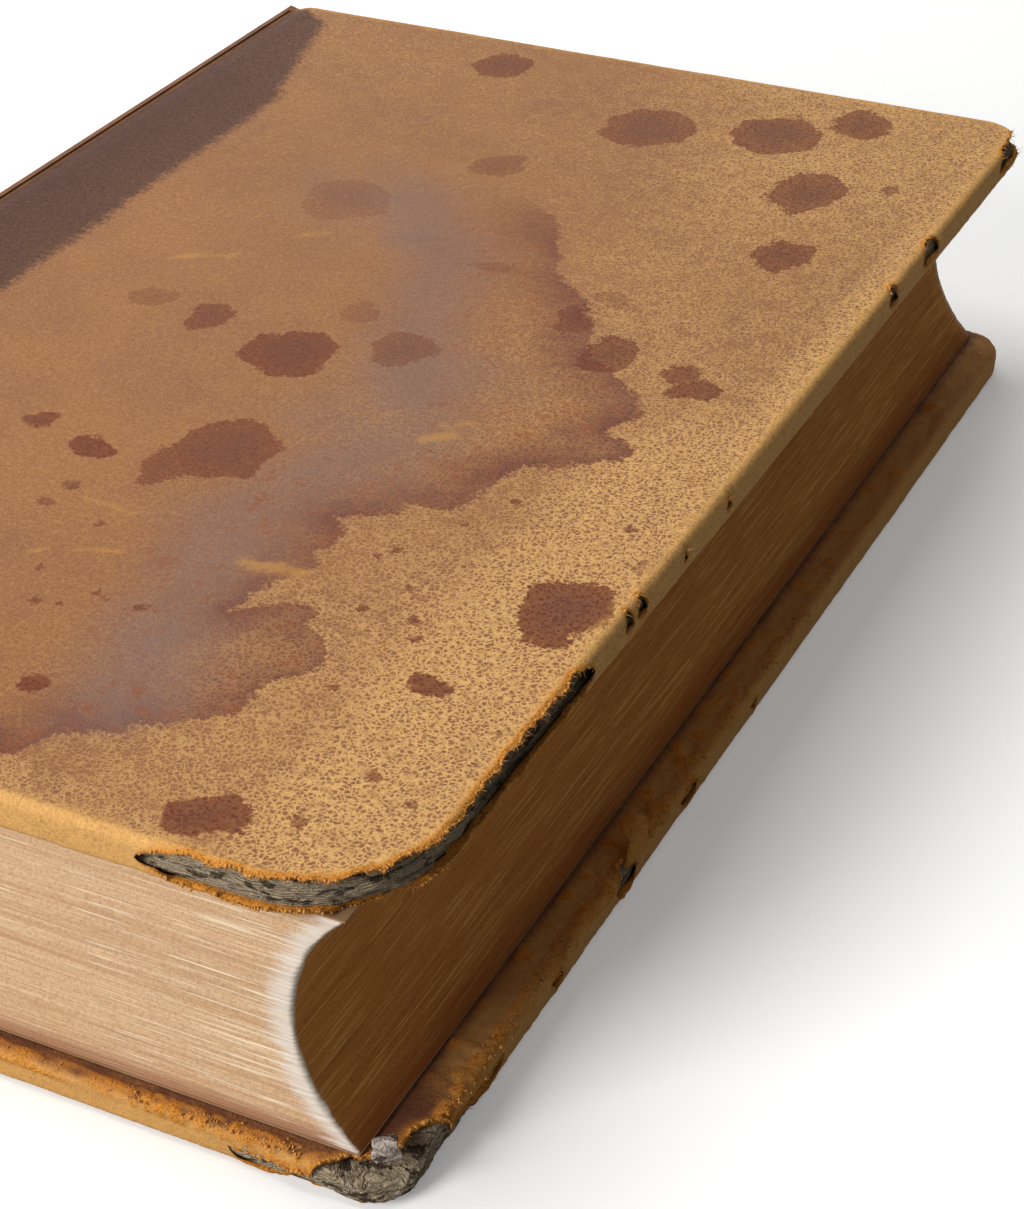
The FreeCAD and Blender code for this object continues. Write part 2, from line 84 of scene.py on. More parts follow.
WIDTH, LENGTH, BOOK_TOP = limits("front_cover_leather")[1]
COVER = BOOK_TOP - limits("front_cover_leather")[0][2]
BLOCK_LOW, BLOCK_HIGH = limits("text_block")
PAGES_BOTTOM = limits("back_flyleaf")[1][2]
PAGES_TOP = limits("front_flyleaf")[0][2]
PAGES_FORE = BLOCK_HIGH[0]
MIDDLE = BOOK_TOP / 2
print(f"cover {WIDTH:.1f} x {LENGTH:.1f} x {COVER:.1f} mm, book {BOOK_TOP:.1f} mm thick")
print(f"pages from {PAGES_BOTTOM:.2f} to {PAGES_TOP:.2f} mm, fore edge at {PAGES_FORE:.1f} mm")

# %% [markdown]
# ## Chance
#
# Nothing on an old book is straight. A smooth random field, worked out for whole arrays at once, bends
# every surface a little. The field has a value at each corner of a lattice, taken from a hash of the
# corner's whole-numbered place, and blends them inside the cell, so it is the same on each run.

# %% Make smooth random fields
PRIMES = np.array([73856093, 19349663, 83492791])


def hashed(cells, seed):
    """A number from -1 to 1 for each whole-numbered cell: place times large primes, with the bits stirred."""
    keys = (cells * PRIMES[: cells.shape[-1]]).sum(-1) + seed * 40503
    for shift, factor in ((15, 2246822519), (13, 3266489917)):
        keys = ((keys ^ (keys >> shift)) * factor) & 0xFFFFFFFF
    return ((keys ^ (keys >> 16)) & 0xFFFF) / 32767.5 - 1


def noise(places, size, seed):
    """Smooth field from -1 to 1 with features of this size: corner values blended by 3t^2 - 2t^3."""
    scaled = places / size
    cell = np.floor(scaled).astype(np.int64)
    part = scaled - cell
    part = part * part * (3 - 2 * part)
    total = 0.0
    for corner in itertools.product((0, 1), repeat=places.shape[-1]):
        weight = np.prod(np.where(corner, part, 1 - part), axis=-1)
        total = total + weight * hashed(cell + np.array(corner), seed)
    return total


def rough(places, size, seed, layers=3):
    """Noise with finer noise on it: each layer has half the size and half the height of the one before."""
    return sum(noise(places, size / 2**k, seed + k) / 2**k for k in range(layers)) / (2 - 2 ** (1 - layers))


def smooth(low, high, values):
    """0 below low, 1 above high, and 3t^2 - 2t^3 between."""
    t = np.clip((values - low) / (high - low), 0, 1)
    return t * t * (3 - 2 * t)


print("noise at three places:", noise(np.array([[0.2, 0.4], [1.7, 3.1], [5.5, 2.2]]), 1.0, 7).round(3))

# %% [markdown]
# ## From arrays to meshes
#
# A shape grows as rows of points. Grids of point numbers say which neighbours share a face, so two grids
# that name the same points are sewn together without a seam. Where an edge is closed up, several points
# fall on one place: they are merged at the end, and faces that have shrunk to nothing go with them.

# %% Grow a shape and make it a piece
class Shape:
    """A mesh as it grows: points in mm in the book's frame, and faces that name them by number."""

    def __init__(self):
        self.points = np.empty((0, 3))
        self.faces = np.empty((0, 4), dtype=np.int64)

    def add(self, points):
        """Add an array of points of any shape, and give back their numbers in that shape."""
        numbers = len(self.points) + np.arange(points[..., 0].size).reshape(points.shape[:-1])
        self.points = np.concatenate([self.points, points.reshape(-1, 3)])
        return numbers

    def skin(self, numbers, turned=False):
        """Lay faces between neighbours in a grid of point numbers, or in many. turned flips them."""
        corners = [numbers[..., :-1, :-1], numbers[..., 1:, :-1], numbers[..., 1:, 1:], numbers[..., :-1, 1:]]
        faces = np.stack(corners[::-1] if turned else corners, -1).reshape(-1, 4)
        self.faces = np.concatenate([self.faces, faces])

    def cap(self, ring, turned=False):
        """Close a ring of point numbers with triangles that meet in its middle."""
        middle = np.full(len(ring), self.add(self.points[ring].mean(0)[None])[0])
        corners = [ring, np.roll(ring, -1), middle, middle]
        order = [1, 0, 2, 3] if turned else [0, 1, 2, 3]
        self.faces = np.concatenate([self.faces, np.stack([corners[k] for k in order], -1)])

    def merged(self):
        """Points with those on one place made one, faces by their numbers, and each point's first number."""
        keys = np.round(self.points * 2000).astype(np.int64)
        _, first, place = np.unique(keys, axis=0, return_index=True, return_inverse=True)
        faces = place.reshape(-1)[self.faces]
        repeats = faces == np.roll(faces, -1, axis=1)
        whole = faces[repeats.sum(1) == 0]
        bent = faces[repeats.sum(1) == 1]
        triangles = bent[~repeats[repeats.sum(1) == 1]].reshape(-1, 3)
        whole = whole[(whole[:, 0] != whole[:, 2]) & (whole[:, 1] != whole[:, 3])]
        triangles = triangles[triangles[:, 0] != triangles[:, 2]]
        return self.points[first], whole.tolist() + triangles.tolist(), first


def make_piece(name, shape, material, fields=None):
    """A smooth-shaded object from a shape, with fields: numbers at its points that the material reads."""
    points, faces, first = shape.merged()
    mesh = bpy.data.meshes.new(name)
    mesh.from_pydata((points + ORIGIN) * MM, [], faces)
    mesh.shade_smooth()
    for key, values in (fields or {}).items():
        layer = mesh.attributes.new(key, "FLOAT", "POINT")
        layer.data.foreach_set("value", values[first].astype(np.float32))
    mesh.materials.append(material)
    piece = bpy.data.objects.new(name, mesh)
    bpy.context.collection.objects.link(piece)
    print(f"{name}: {len(points)} points, {len(faces)} faces")
    return piece


def spaced(*stretches):
    """Numbers from the first limit to the last, each stretch (start, end, step) divided evenly."""
    runs = [np.linspace(low, high, max(round((high - low) / step), 1) + 1) for low, high, step in stretches]
    return np.concatenate([runs[0]] + [run[1:] for run in runs[1:]])


# %% [markdown]
# ## Colours and nodes
#
# Colours are picked as sRGB hex values, as on any colour chart, and the shaders want linear light.

# %% Turn colours to linear and add shader nodes
def colour(code):
    """An sRGB hex value as linear red, green, blue and alpha."""
    parts = [int(code[k : k + 2], 16) / 255 for k in (1, 3, 5)]
    return [p / 12.92 if p <= 0.04045 else ((p + 0.055) / 1.055) ** 2.4 for p in parts] + [1.0]


def add(tree, kind, inputs=None, out=0, **settings):
    """Add a shader node, set its settings, fill or link its inputs, and give back one output."""
    node = tree.nodes.new("ShaderNode" + kind)
    for key, value in settings.items():
        setattr(node, key, value)
    for key, value in (inputs or {}).items():
        if isinstance(value, bpy.types.NodeSocket):
            tree.links.new(value, node.inputs[key])
        else:
            node.inputs[key].default_value = value
    return node.outputs[out]


def new_material(name):
    """An empty material of this name, its node tree and its surface socket."""
    material = bpy.data.materials.new(name)
    material.use_nodes = True
    tree = material.node_tree
    tree.nodes.clear()
    output = tree.nodes.new("ShaderNodeOutputMaterial")
    return material, tree, output.inputs["Surface"]


print("calf ochre in linear light:", [round(part, 3) for part in colour("#c9913f")])

# %% [markdown]
# ## The leather of a cover
#
# One skin of calf is pared thin, pasted over the boards and turned in over their inner faces. It is made
# here as a grid over the outer face, with rows of points that go on from the grid's rim, round the edge
# and in over the inner face, as the leather itself does. The rows could be an offset made by Solidify, but
# then the torn places, where the leather stops and the board shows, would have no edge to follow.

# %% Lay out the plan and the edge of a cover
SPINE_EDGE = limits("front_cover_leather")[0][0]
BOARD_EDGE = limits("front_board")[0][0]
TURN_IN = WIDTH - limits("front_pastedown")[1][0]
FAR_CORNER = 8.0
FRONT_CORNER = 18.0
BACK_CORNER = 6.0
OUTER_ROUND = 1.4
INNER_ROUND = 0.9
SIDE_START = OUTER_ROUND * math.pi / 2
SIDE_END = SIDE_START + COVER - OUTER_ROUND - INNER_ROUND
RUN_START = SIDE_END + INNER_ROUND * math.pi / 2
RUN = TURN_IN - INNER_ROUND
SEAM = (SIDE_START + SIDE_END) / 2


def cover_plan(x, y, inset, corner):
    """A grid in the plan of a cover, this far inside its outline.

    Its lines are straight, but at the two corners of the fore edge a square as wide as the corner's radius is
    squeezed into a quarter disc: x = a sqrt(1 - b^2 / 2), y = b sqrt(1 - a^2 / 2), with a and b from 0 to 1.
    """
    x, y = np.meshgrid(x, y, indexing="ij")
    radius = np.where(y < LENGTH / 2, corner, FAR_CORNER) - inset
    right, low, high = WIDTH - inset - radius, inset + radius, LENGTH - inset - radius
    a = np.clip((x - right) / radius, 0, 1)
    b = (np.maximum(y - high, 0) + np.minimum(y - low, 0)) / radius
    x = np.minimum(x, right) + radius * a * np.sqrt(1 - b**2 / 2)
    y = np.clip(y, low, high) + radius * b * np.sqrt(1 - a**2 / 2)
    return np.stack([x, y], -1)


def around(grid):
    """The rim of a grid from the spine end of the tail, along the fore edge, to the spine end of the head."""
    return np.concatenate([grid[:, 0], grid[-1, 1:], grid[-2::-1, -1]])


def outward(rim, corner):
    """Level direction away from a cover: straight out of a side, away from the centre of a rounded corner."""
    near = rim[:, 1] < LENGTH / 2
    radius = np.where(near, corner, FAR_CORNER)
    across = np.maximum(rim[:, 0] - (WIDTH - radius), 0)
    tail, head = np.minimum(rim[:, 1] - radius, 0), np.maximum(rim[:, 1] - (LENGTH - radius), 0)
    away = np.stack([across, np.where(near, tail, head)], -1)
    return away / np.linalg.norm(away, axis=-1, keepdims=True)


def on_edge(outline, away, along, lift=0.0):
    """Points of a cover's edge, as x, y and depth below its outer face.

    along is the way down the section in mm: a quarter round, the side, a quarter round, and then a line over
    the inner face to the window of the pastedown. lift moves a point out of the leather, square to it.
    """
    turn = np.clip(along / OUTER_ROUND, 0, math.pi / 2)
    roll = np.clip((along - SIDE_END) / INNER_ROUND, 0, math.pi / 2)
    out = np.minimum(along, 0) - OUTER_ROUND * (1 - np.sin(turn)) - INNER_ROUND * (1 - np.cos(roll))
    depth = OUTER_ROUND * (1 - np.cos(turn)) + np.clip(along, SIDE_START, SIDE_END) - SIDE_START
    depth = depth + INNER_ROUND * np.sin(roll)
    out = out + lift * np.sin(turn + roll)
    depth = depth - lift * np.cos(turn + roll)
    level = outline + away * out[..., None]
    share = np.clip((along - RUN_START) / RUN, 0, 1)[..., None]
    window = np.clip(level, [BOARD_EDGE, TURN_IN], [WIDTH - TURN_IN, LENGTH - TURN_IN])
    level = level + (window - level) * share
    clear = smooth(0, 0.12, share[..., 0]) * np.maximum(BOARD_EDGE - level[..., 0], 0)
    level = level + clear[..., None] * np.array([1.0, 0.0])
    return np.concatenate([level, depth[..., None]], -1)


def rim_length(rim, place):
    """Length along a rim from its start to the point nearest to this place."""
    steps = np.linalg.norm(np.diff(rim, axis=0), axis=-1)
    lengths = np.concatenate([[0], np.cumsum(steps)])
    return lengths[np.argmin(np.linalg.norm(rim - np.array(place), axis=-1))]


print(f"section of the edge: side from {SIDE_START:.2f} to {SIDE_END:.2f} mm, run from {RUN_START:.2f} mm")

# %% [markdown]
# Where a corner has been rubbed for years the leather has worn through. Along the outline, a torn place
# opens between an upper and a lower ragged line down the section. At both lines the sheet gets a lip, a
# narrow strip that turns in under it, so that its thickness shows, and the lip lifts a little.

# %% Tear the leather open
LIP = 0.7


def torn_lines(length, tears, seed):
    """Upper and lower torn line at each length along the rim, and how open the leather is, from 0 to 1.

    Each tear is (start, end, upper, lower, ramp): between start and end the lines part from the seam to upper
    and lower as the square root of the way along the ramp. Both have coarse and fine raggedness.
    """
    upper, lower, gape = np.full(len(length), SEAM), np.full(len(length), SEAM), np.zeros(len(length))
    place = length[:, None]
    for start, end, high, low, ramp in tears:
        open_here = np.sqrt(np.clip(np.minimum(length - start, end - length) / ramp, 0, 1))
        jag = [0.55 * rough(place, 2.6, seed + k) + 0.3 * rough(place, 0.7, seed + 9 + k) for k in (0, 40)]
        inside = open_here > 0
        upper = np.where(inside, np.minimum(upper, SEAM + (high - SEAM + jag[0]) * open_here), upper)
        lower = np.where(inside, np.maximum(lower, SEAM + (low - SEAM + jag[1]) * open_here), lower)
        gape = np.maximum(gape, open_here)
    crossed = upper > lower
    middle = (upper + lower) / 2
    upper, lower = np.where(crossed, middle, upper), np.where(crossed, middle, lower)
    return upper, lower, np.where(crossed, 0, gape)


def unevenness(points, seed):
    """Height in mm of the leather over a smooth cover: waves of the board, swellings, small lumps."""
    waves = 0.10 * noise(points, 34, seed) + 0.05 * rough(points, 7, seed + 5)
    return waves + 0.035 * rough(points, 1.6, seed + 11)


def cover_skin(x, y, corner, tears, seed, wild=1.0, shaggy=None):
    """The leather of one cover as a Shape in x, y and depth below its outer face, with fields at its points.

    torn is 1 at a torn line and fades in 1 mm, inner is 0 on the outer face and 1 on the inner one, and
    edge is the distance from the outline. shaggy, a function of places along the rim, is how high the scuffed
    leather stands in lumps on the inner arris. Also returns the torn lines as points, with the way they face.
    """
    shape = Shape()
    plan = cover_plan(x, y, OUTER_ROUND, corner)
    face = np.concatenate([plan, np.zeros(plan.shape[:2] + (1,))], -1)
    face[..., 2] -= unevenness(face, seed)
    numbers = shape.add(face)
    rim_numbers = around(numbers)
    rim = around(plan)
    away = outward(rim, corner)
    outline = rim + away * OUTER_ROUND
    length = np.concatenate([[0], np.cumsum(np.linalg.norm(np.diff(outline, axis=0), axis=-1))])
    places = [(rim_length(outline, a), rim_length(outline, b), *rest) for a, b, *rest in tears]
    upper, lower, gape = torn_lines(length, places, seed)

    curl = gape * (0.18 + 0.22 * rough(length[:, None], 3.5, seed + 60)) * wild
    side_lumps = 0.09 * wild
    shag = shaggy(outline) if shaggy else np.zeros(len(length))

    def scuffed(along, base):
        on_arris = smooth(SIDE_END - 1.1, SIDE_END, along)
        on_arris = on_arris * (1 - smooth(RUN_START + 0.6, RUN_START + 1.7, along))
        return shag * on_arris * np.clip(0.55 + 0.9 * rough(base, 1.0, seed + 25), 0, 1.4)

    def rows(along, distance):
        lift = curl * np.exp(-distance / 0.9)
        base = on_edge(outline, away, along)
        lift = lift + unevenness(base, seed)
        lumps = side_lumps * smooth(0.3, 1.4, along) * (1 - smooth(RUN_START + 2, RUN_START + 6, along))
        lift = lift + lumps * rough(base, 1.1, seed + 21) + 0.5 * scuffed(along, base)
        return on_edge(outline, away, along, lift)

    down = np.linspace(0, 1, 9)[1:, None]
    above = upper * down
    top = rows(above, upper - above)
    tucked = [
        on_edge(outline, away, upper - back * gape, -thick * gape)
        for back, thick in ((0.05, LIP * 0.5), (0.35, LIP), (1.5, LIP + 0.1))
    ]
    closed = gape[None, :, None] == 0
    tucked = np.where(closed, top[-1:], np.stack(tucked))
    end = RUN_START + RUN
    fall = spaced((0, 0.3, 0.018), (0.3, 0.55, 0.05), (0.55, 1, 0.11))[:, None]
    below = lower + (end - lower) * fall
    bottom = rows(below, below - lower)
    raised = [
        on_edge(outline, away, lower + back * gape, -thick * gape)
        for back, thick in ((1.5, LIP + 0.1), (0.35, LIP), (0.05, LIP * 0.5))
    ]
    raised = np.where(closed, bottom[:1], np.stack(raised))
    rest = on_edge(outline, away, np.full((1, len(length)), end), -0.45)
    top_numbers = np.concatenate([rim_numbers[None], shape.add(np.concatenate([top, tucked]))])
    bottom_numbers = shape.add(np.concatenate([raised, bottom, rest]))

    count = len(shape.points)
    fields = {"torn": np.zeros(count), "inner": np.zeros(count), "edge": np.full(count, 50.0)}
    fields["torn"][top_numbers[1:9]] = gape * np.exp(-(upper - above) / 0.8)
    fields["torn"][rim_numbers] = gape * np.exp(-upper / 0.8)
    fields["torn"][top_numbers[9:]] = gape
    fields["torn"][bottom_numbers[:3]] = gape
    rubbed = scuffed(below, on_edge(outline, away, below))
    fields["torn"][bottom_numbers[3:-1]] = np.maximum(gape * np.exp(-(below - lower) / 0.8), 0.8 * rubbed)
    dark_lining = smooth(SIDE_END, RUN_START + 0.6, below)
    fields["inner"][bottom_numbers[3:-1]] = dark_lining * (1 - 0.8 * np.minimum(rubbed, 1))
    fields["inner"][bottom_numbers[-1]] = 1
    fields["edge"][numbers] = rim_distance(plan, corner)
    fields["edge"][top_numbers[1:]] = 0
    fields["edge"][bottom_numbers] = 0
    strips = [numbers, top_numbers, bottom_numbers]
    lips = {"upper": (top[-1], away, gape), "lower": (bottom[0], away, gape)}
    return shape, strips, fields, lips


def rim_distance(plan, corner):
    """Distance in mm from a cover's outline, at the fore edge, the tail and the head, measured inwards."""
    near = plan[..., 1] < LENGTH / 2
    radius = np.where(near, corner, FAR_CORNER)
    across = radius - (WIDTH - plan[..., 0])
    along = radius - np.where(near, plan[..., 1], LENGTH - plan[..., 1])
    outside = np.hypot(np.maximum(across, 0), np.maximum(along, 0))
    return radius - outside - np.minimum(np.maximum(across, along), 0)


def stand(shape, strips, is_front):
    """Turn depth into height, down from the top for the front cover, up from the table for the back one."""
    hinge = np.maximum(1 - smooth(SPINE_EDGE - 0.5, 4.0, shape.points[:, 0]), 0)
    depth = shape.points[:, 2] + 0.9 * hinge * (1 - shape.points[:, 2] / COVER)
    shape.points[:, 2] = np.minimum(BOOK_TOP - depth, BOOK_TOP + 0.7) if is_front else np.maximum(depth, 0)
    for numbers in strips:
        shape.skin(numbers, turned=not is_front)


FRONT_TEARS = [
    ((117.5, 0.0), (WIDTH, 26.0), 1.0, 5.2, 7.0),
    ((141.0, 0.0), (WIDTH, 14.0), 1.0, 7.4, 5.0),
    ((WIDTH, 12.0), (WIDTH, 56.5), 1.0, 4.7, 5.0),
    ((WIDTH, 65.6), (WIDTH, 68.4), 0.9, 2.9, 1.2),
    ((WIDTH, 69.4), (WIDTH, 72.6), 0.6, 3.4, 1.4),
    ((WIDTH, 84.6), (WIDTH, 86.0), 1.6, 2.8, 0.8),
    ((WIDTH, 99.5), (WIDTH, 101.5), 1.8, 3.0, 1.0),
    ((WIDTH, 166.8), (WIDTH, 171.0), 0.3, 3.4, 1.4),
    ((WIDTH, 183.5), (WIDTH, 191.0), 0.5, 3.4, 2.0),
    ((WIDTH, 224.0), (146.5, 238.0), 0.15, 3.6, 3.0),
]
front_x = spaced((SPINE_EDGE, 70, 1.5), (70, 112, 0.75), (112, WIDTH - OUTER_ROUND, 0.42))
front_y = spaced((OUTER_ROUND, 76, 0.42), (76, 112, 0.7), (112, 164, 1.1), (164, 194, 0.6), (194, 219, 1.1),
                 (219, LENGTH - OUTER_ROUND, 0.6))
front_skin = cover_skin(front_x, front_y, FRONT_CORNER, FRONT_TEARS, 3)
front_shape, front_strips, front_fields, front_lips = front_skin
front_plan = front_shape.points[:, :2].copy()
stand(front_shape, front_strips, is_front=True)
print(f"front leather: {len(front_shape.points)} points")

BACK_TEARS = [
    ((126.5, 0.0), (WIDTH, 29.0), 0.05, 3.9, 9.0),
    ((138.0, 0.0), (WIDTH, 14.0), 0.05, 8.4, 5.0),
    ((WIDTH, 43.0), (WIDTH, 47.0), 2.6, 5.0, 2.0),
    ((WIDTH, 63.5), (WIDTH, 70.5), 1.6, 6.6, 2.2),
    ((WIDTH, 86.0), (WIDTH, 92.0), 2.6, 5.4, 2.2),
    ((WIDTH, 112.0), (WIDTH, 116.0), 2.4, 4.6, 1.6),
]
back_x = spaced((SPINE_EDGE, 112, 2.6), (112, WIDTH - OUTER_ROUND, 0.42))
back_y = spaced((OUTER_ROUND, 96, 0.42), (96, LENGTH - OUTER_ROUND, 1.6))


def back_shag(rim):
    """0 to 1 along the rim of the back cover: scuffed in patches at the tail and along the fore edge."""
    tail = smooth(8, 20, rim[:, 0]) * (rim[:, 1] < 20) * 1.0
    fore = (rim[:, 0] > WIDTH - 2) * (0.9 - 0.5 * smooth(60, 150, rim[:, 1]))
    return np.maximum(tail, fore) * np.clip(0.85 + 0.5 * rough(rim, 9.0, 91), 0, 1.2)


back_skin = cover_skin(back_x, back_y, BACK_CORNER, BACK_TEARS, 31, 1.4, back_shag)
back_shape, back_strips, back_fields, back_lips = back_skin
stand(back_shape, back_strips, is_front=False)
strip = back_fields["inner"] * smooth(WIDTH - 6.5, WIDTH - 4.5, back_shape.points[:, 0])
strip = strip * smooth(14, 24, back_shape.points[:, 1]) * (back_shape.points[:, 2] > COVER - 1.2)
lumps = rough(back_shape.points, 3.2, 77)
back_shape.points[:, 2] += strip * (1.5 * np.maximum(lumps, 0) + 0.35 * rough(back_shape.points, 1.0, 79))
back_fields["inner"] = back_fields["inner"] * (1 - 0.8 * strip)
back_fields["torn"] = np.maximum(back_fields["torn"], strip * smooth(0.05, 0.5, lumps))
print(f"back leather: {len(back_shape.points)} points")

# %% [markdown]
# A torn edge is soft: fibres of the hide stand out of it, and it crumbles. The fibres are thin spindles, and
# the crumbs are small knobbly balls. Both are worked out together as one array with a row for each, since
# hundreds of separate objects would be slow to make and heavy to draw.

# %% Pull fibres and crumbs out of the torn edges
def spread(lip, count, seed):
    """Random places along a torn line, only where it is open, as points with the way that they face."""
    points, away, gape = lip
    draw = np.random.default_rng(seed)
    chance = np.where(gape > 0.25, gape, 0)
    chosen = draw.choice(len(points) - 1, count, p=chance[:-1] / chance[:-1].sum())
    share = draw.random((count, 1))
    return points[chosen] * (1 - share) + points[chosen + 1] * share, away[chosen]


def fibres(starts, away, lean, seed, length=0.7, thick=0.045):
    """Spindles: start + (way) t + (curl) t^2, with a radius that is 0 at both ends, for t from 0 to 1.

    lean is how far the way points in depth: above 0 the fibre leans to the inner face.
    """
    draw = np.random.default_rng(seed)
    count = len(starts)
    size = length * (0.4 + 0.9 * draw.random((count, 1)))
    way = np.concatenate([away * 0.55, np.full((count, 1), lean)], -1) + 0.55 * draw.normal(size=(count, 3))
    way = way / np.linalg.norm(way, axis=1, keepdims=True) * size
    curl = 0.5 * size * draw.normal(size=(count, 3))
    t = np.array([0, 0.12, 0.35, 0.6, 0.82, 1.0])[None, :, None]
    middle = starts[:, None] + way[:, None] * (t - 0.15) + curl[:, None] * t**2
    side = np.cross(way, curl)
    side = side / np.linalg.norm(side, axis=1, keepdims=True)
    other = np.cross(way / size, side)
    around_it = np.linspace(0, 2 * math.pi, 5)[:-1]
    taper = np.array([0, 1, 0.9, 0.7, 0.45, 0])[None, :, None]
    radius = thick * (0.6 + 0.8 * draw.random((count, 1, 1))) * taper
    cosine, sine = np.cos(around_it)[:, None], np.sin(around_it)[:, None]
    ring = side[:, None, None] * cosine + other[:, None, None] * sine
    return middle[:, :, None] + ring * radius[..., None]


def crumbs(places, seed, size=0.3):
    """Knobbly balls: a grid of latitudes and longitudes, pushed in and out by chance, flattened a little."""
    draw = np.random.default_rng(seed)
    count = len(places)
    up = np.linspace(-math.pi / 2, math.pi / 2, 6)[:, None]
    about = np.linspace(0, 2 * math.pi, 8)[None, :-1]
    ball = np.stack([np.cos(up) * np.cos(about), np.cos(up) * np.sin(about), np.sin(up) + 0 * about], -1)
    knobs = 1 + 0.3 * draw.normal(size=(count, 6, 7, 1))
    knobs[:, [0, -1]] = 1
    stretch = size * (0.45 + 1.0 * draw.random((count, 1, 1, 1)) ** 2)
    stretch = stretch * (0.7 + 0.6 * draw.random((count, 1, 1, 3)))
    return places[:, None, None] + ball * knobs * stretch


def as_one(parts, is_front):
    """Many small closed grids of points in x, y and depth, as one Shape with fields for the leather."""
    shape = Shape()
    for grids in parts:
        numbers = shape.add(grids)
        shape.skin(np.concatenate([numbers, numbers[..., :1]], -1), turned=not is_front)
    if is_front:
        shape.points[:, 2] = BOOK_TOP - shape.points[:, 2]
    count = len(shape.points)
    shape.points[:, 2] = np.clip(shape.points[:, 2], 0.03, BOOK_TOP + 0.75)
    return shape, {"torn": np.full(count, 0.35), "ochre": np.ones(count), "edge": np.zeros(count)}


front_bits, back_bits = [], []
for lip, lean, count, seed in (("upper", 0.2, 620, 401), ("lower", 0.3, 380, 402)):
    front_bits.append(fibres(*spread(front_lips[lip], count, seed), lean, seed))
    front_bits.append(crumbs(spread(front_lips[lip], 420, seed + 10)[0], seed, 0.17))
back_bits.append(fibres(*spread(back_lips["lower"], 420, 404), -0.4, 404))
back_bits.append(crumbs(spread(back_lips["lower"], 420, 414)[0], 404, 0.2))
arris = cover_plan(back_x, back_y, OUTER_ROUND, BACK_CORNER)
arris = around(arris) + outward(around(arris), BACK_CORNER) * (OUTER_ROUND - 0.75)
draw = np.random.default_rng(405)
chosen = draw.choice(len(arris), 2200)
bald = (np.hypot(arris[chosen, 0] - WIDTH, arris[chosen, 1]) < 13) | (arris[chosen, 0] < 8)
chosen = chosen[~bald & (rough(arris[chosen], 9.0, 406) > -0.1) & (arris[chosen, 1] < 150)]
inset = 0.6 * draw.normal(size=(len(chosen), 1)) + 0.3 * rough(arris[chosen], 3.0, 408)[:, None]
line = arris[chosen] - outward(arris[chosen], BACK_CORNER) * inset
back_bits.append(crumbs(np.concatenate([line, np.full((len(line), 1), COVER + 0.12)], -1), 407, 0.15))
front_torn, front_torn_fields = as_one(front_bits, is_front=True)
back_torn, back_torn_fields = as_one(back_bits, is_front=False)
print(f"fibres and crumbs: {len(front_torn.faces)} faces in front, {len(back_torn.faces)} at the back")

# %% [markdown]
# Two larger pieces hang on: a tongue of leather at the fore edge of the back cover and a flake of pulp that
# has curled up at its corner. Each is a flattened tube along a bent middle line, with a wavy rim.

# %% Bend the tongue of leather and the flake of pulp
def tongue(middle, across, wide, thick, seed):
    """A leaf-shaped sheet: middle + across cos(a) wide + normal sin(a) thick, with a crumpled surface.

    wide and thick are half the width and half the thickness at each point of the middle line.
    """
    way = np.gradient(middle, axis=0)
    normal = np.cross(way, across)
    normal = normal / np.linalg.norm(normal, axis=1, keepdims=True)
    turn = np.linspace(0, 2 * math.pi, 17)[None, :-1, None]
    half = wide[:, None, None] * (1 + 0.25 * rough(middle[:, None] + np.cos(turn), 1.2, seed)[..., None])
    leaf = middle[:, None] + across[None, None] * np.cos(turn) * half
    leaf = leaf + normal[:, None] * np.sin(turn) * thick[:, None, None]
    crumple = np.stack([rough(leaf, 1.0, seed + k) for k in (1, 2, 3)], -1)
    return leaf + 0.5 * crumple * smooth(0, 0.5, wide)[:, None, None]


t = np.linspace(0, 1, 24)[:, None]
hook = (1 - t) ** 2 * [149.0, 68.6, 4.2] + 2 * t * (1 - t) * [152.0, 70.0, 9.4] + t**2 * [146.4, 73.0, 8.6]
leaf_wide = 1.9 * np.sqrt(np.clip(np.minimum(t[:, 0] * 12, (1 - t[:, 0]) * 6), 0, 1))
leather_tongue = tongue(hook, np.array([0.35, 0.9, 0.25]), leaf_wide, 0.34 * np.clip(leaf_wide, 0, 1), 411)
bend = np.linspace(-0.5, 1.15, 34)[:, None] * math.pi
reach = 1.35 - 0.15 * bend / math.pi
curl_way = np.cos(bend) * [0.62, -0.78, 0] + np.sin(bend) * [0, 0, 1.25]
curl_line = np.array([146.2, 4.3, 6.9]) + reach * curl_way
flake_wide = 1.6 * np.sqrt(np.clip(np.minimum(np.linspace(0.3, 3, 34), np.linspace(2.4, 0, 34)), 0, 1))
flake_wide[0] = 0
pulp_flake = tongue(curl_line, np.array([0.78, 0.62, 0.1]), flake_wide, 0.2 * np.clip(flake_wide, 0, 1), 415)
print(f"tongue reaches x {leather_tongue[..., 0].max():.1f}, flake z {pulp_flake[..., 2].max():.1f} mm")

# %% [markdown]
# ## Pulp boards
#
# The boards are rope and paper pulp, pressed in layers. Where the leather has gone they fray: the edge
# swells, its layers come apart and soft fibres stand out. The edge is a band of rows round the outline,
# pushed in and out by a noise that is long along the edge and thin across it, as the layers are.

# %% Fray the edges of the boards
BOARD_INSET = WIDTH - limits("front_board")[1][0]
BOARD_INNER = COVER - (limits("front_board")[0][2] - limits("front_cover_leather")[0][2])
OUTER_LEATHER = BOARD_INSET
CAP_REACH = 12.0
LAYER = 0.36


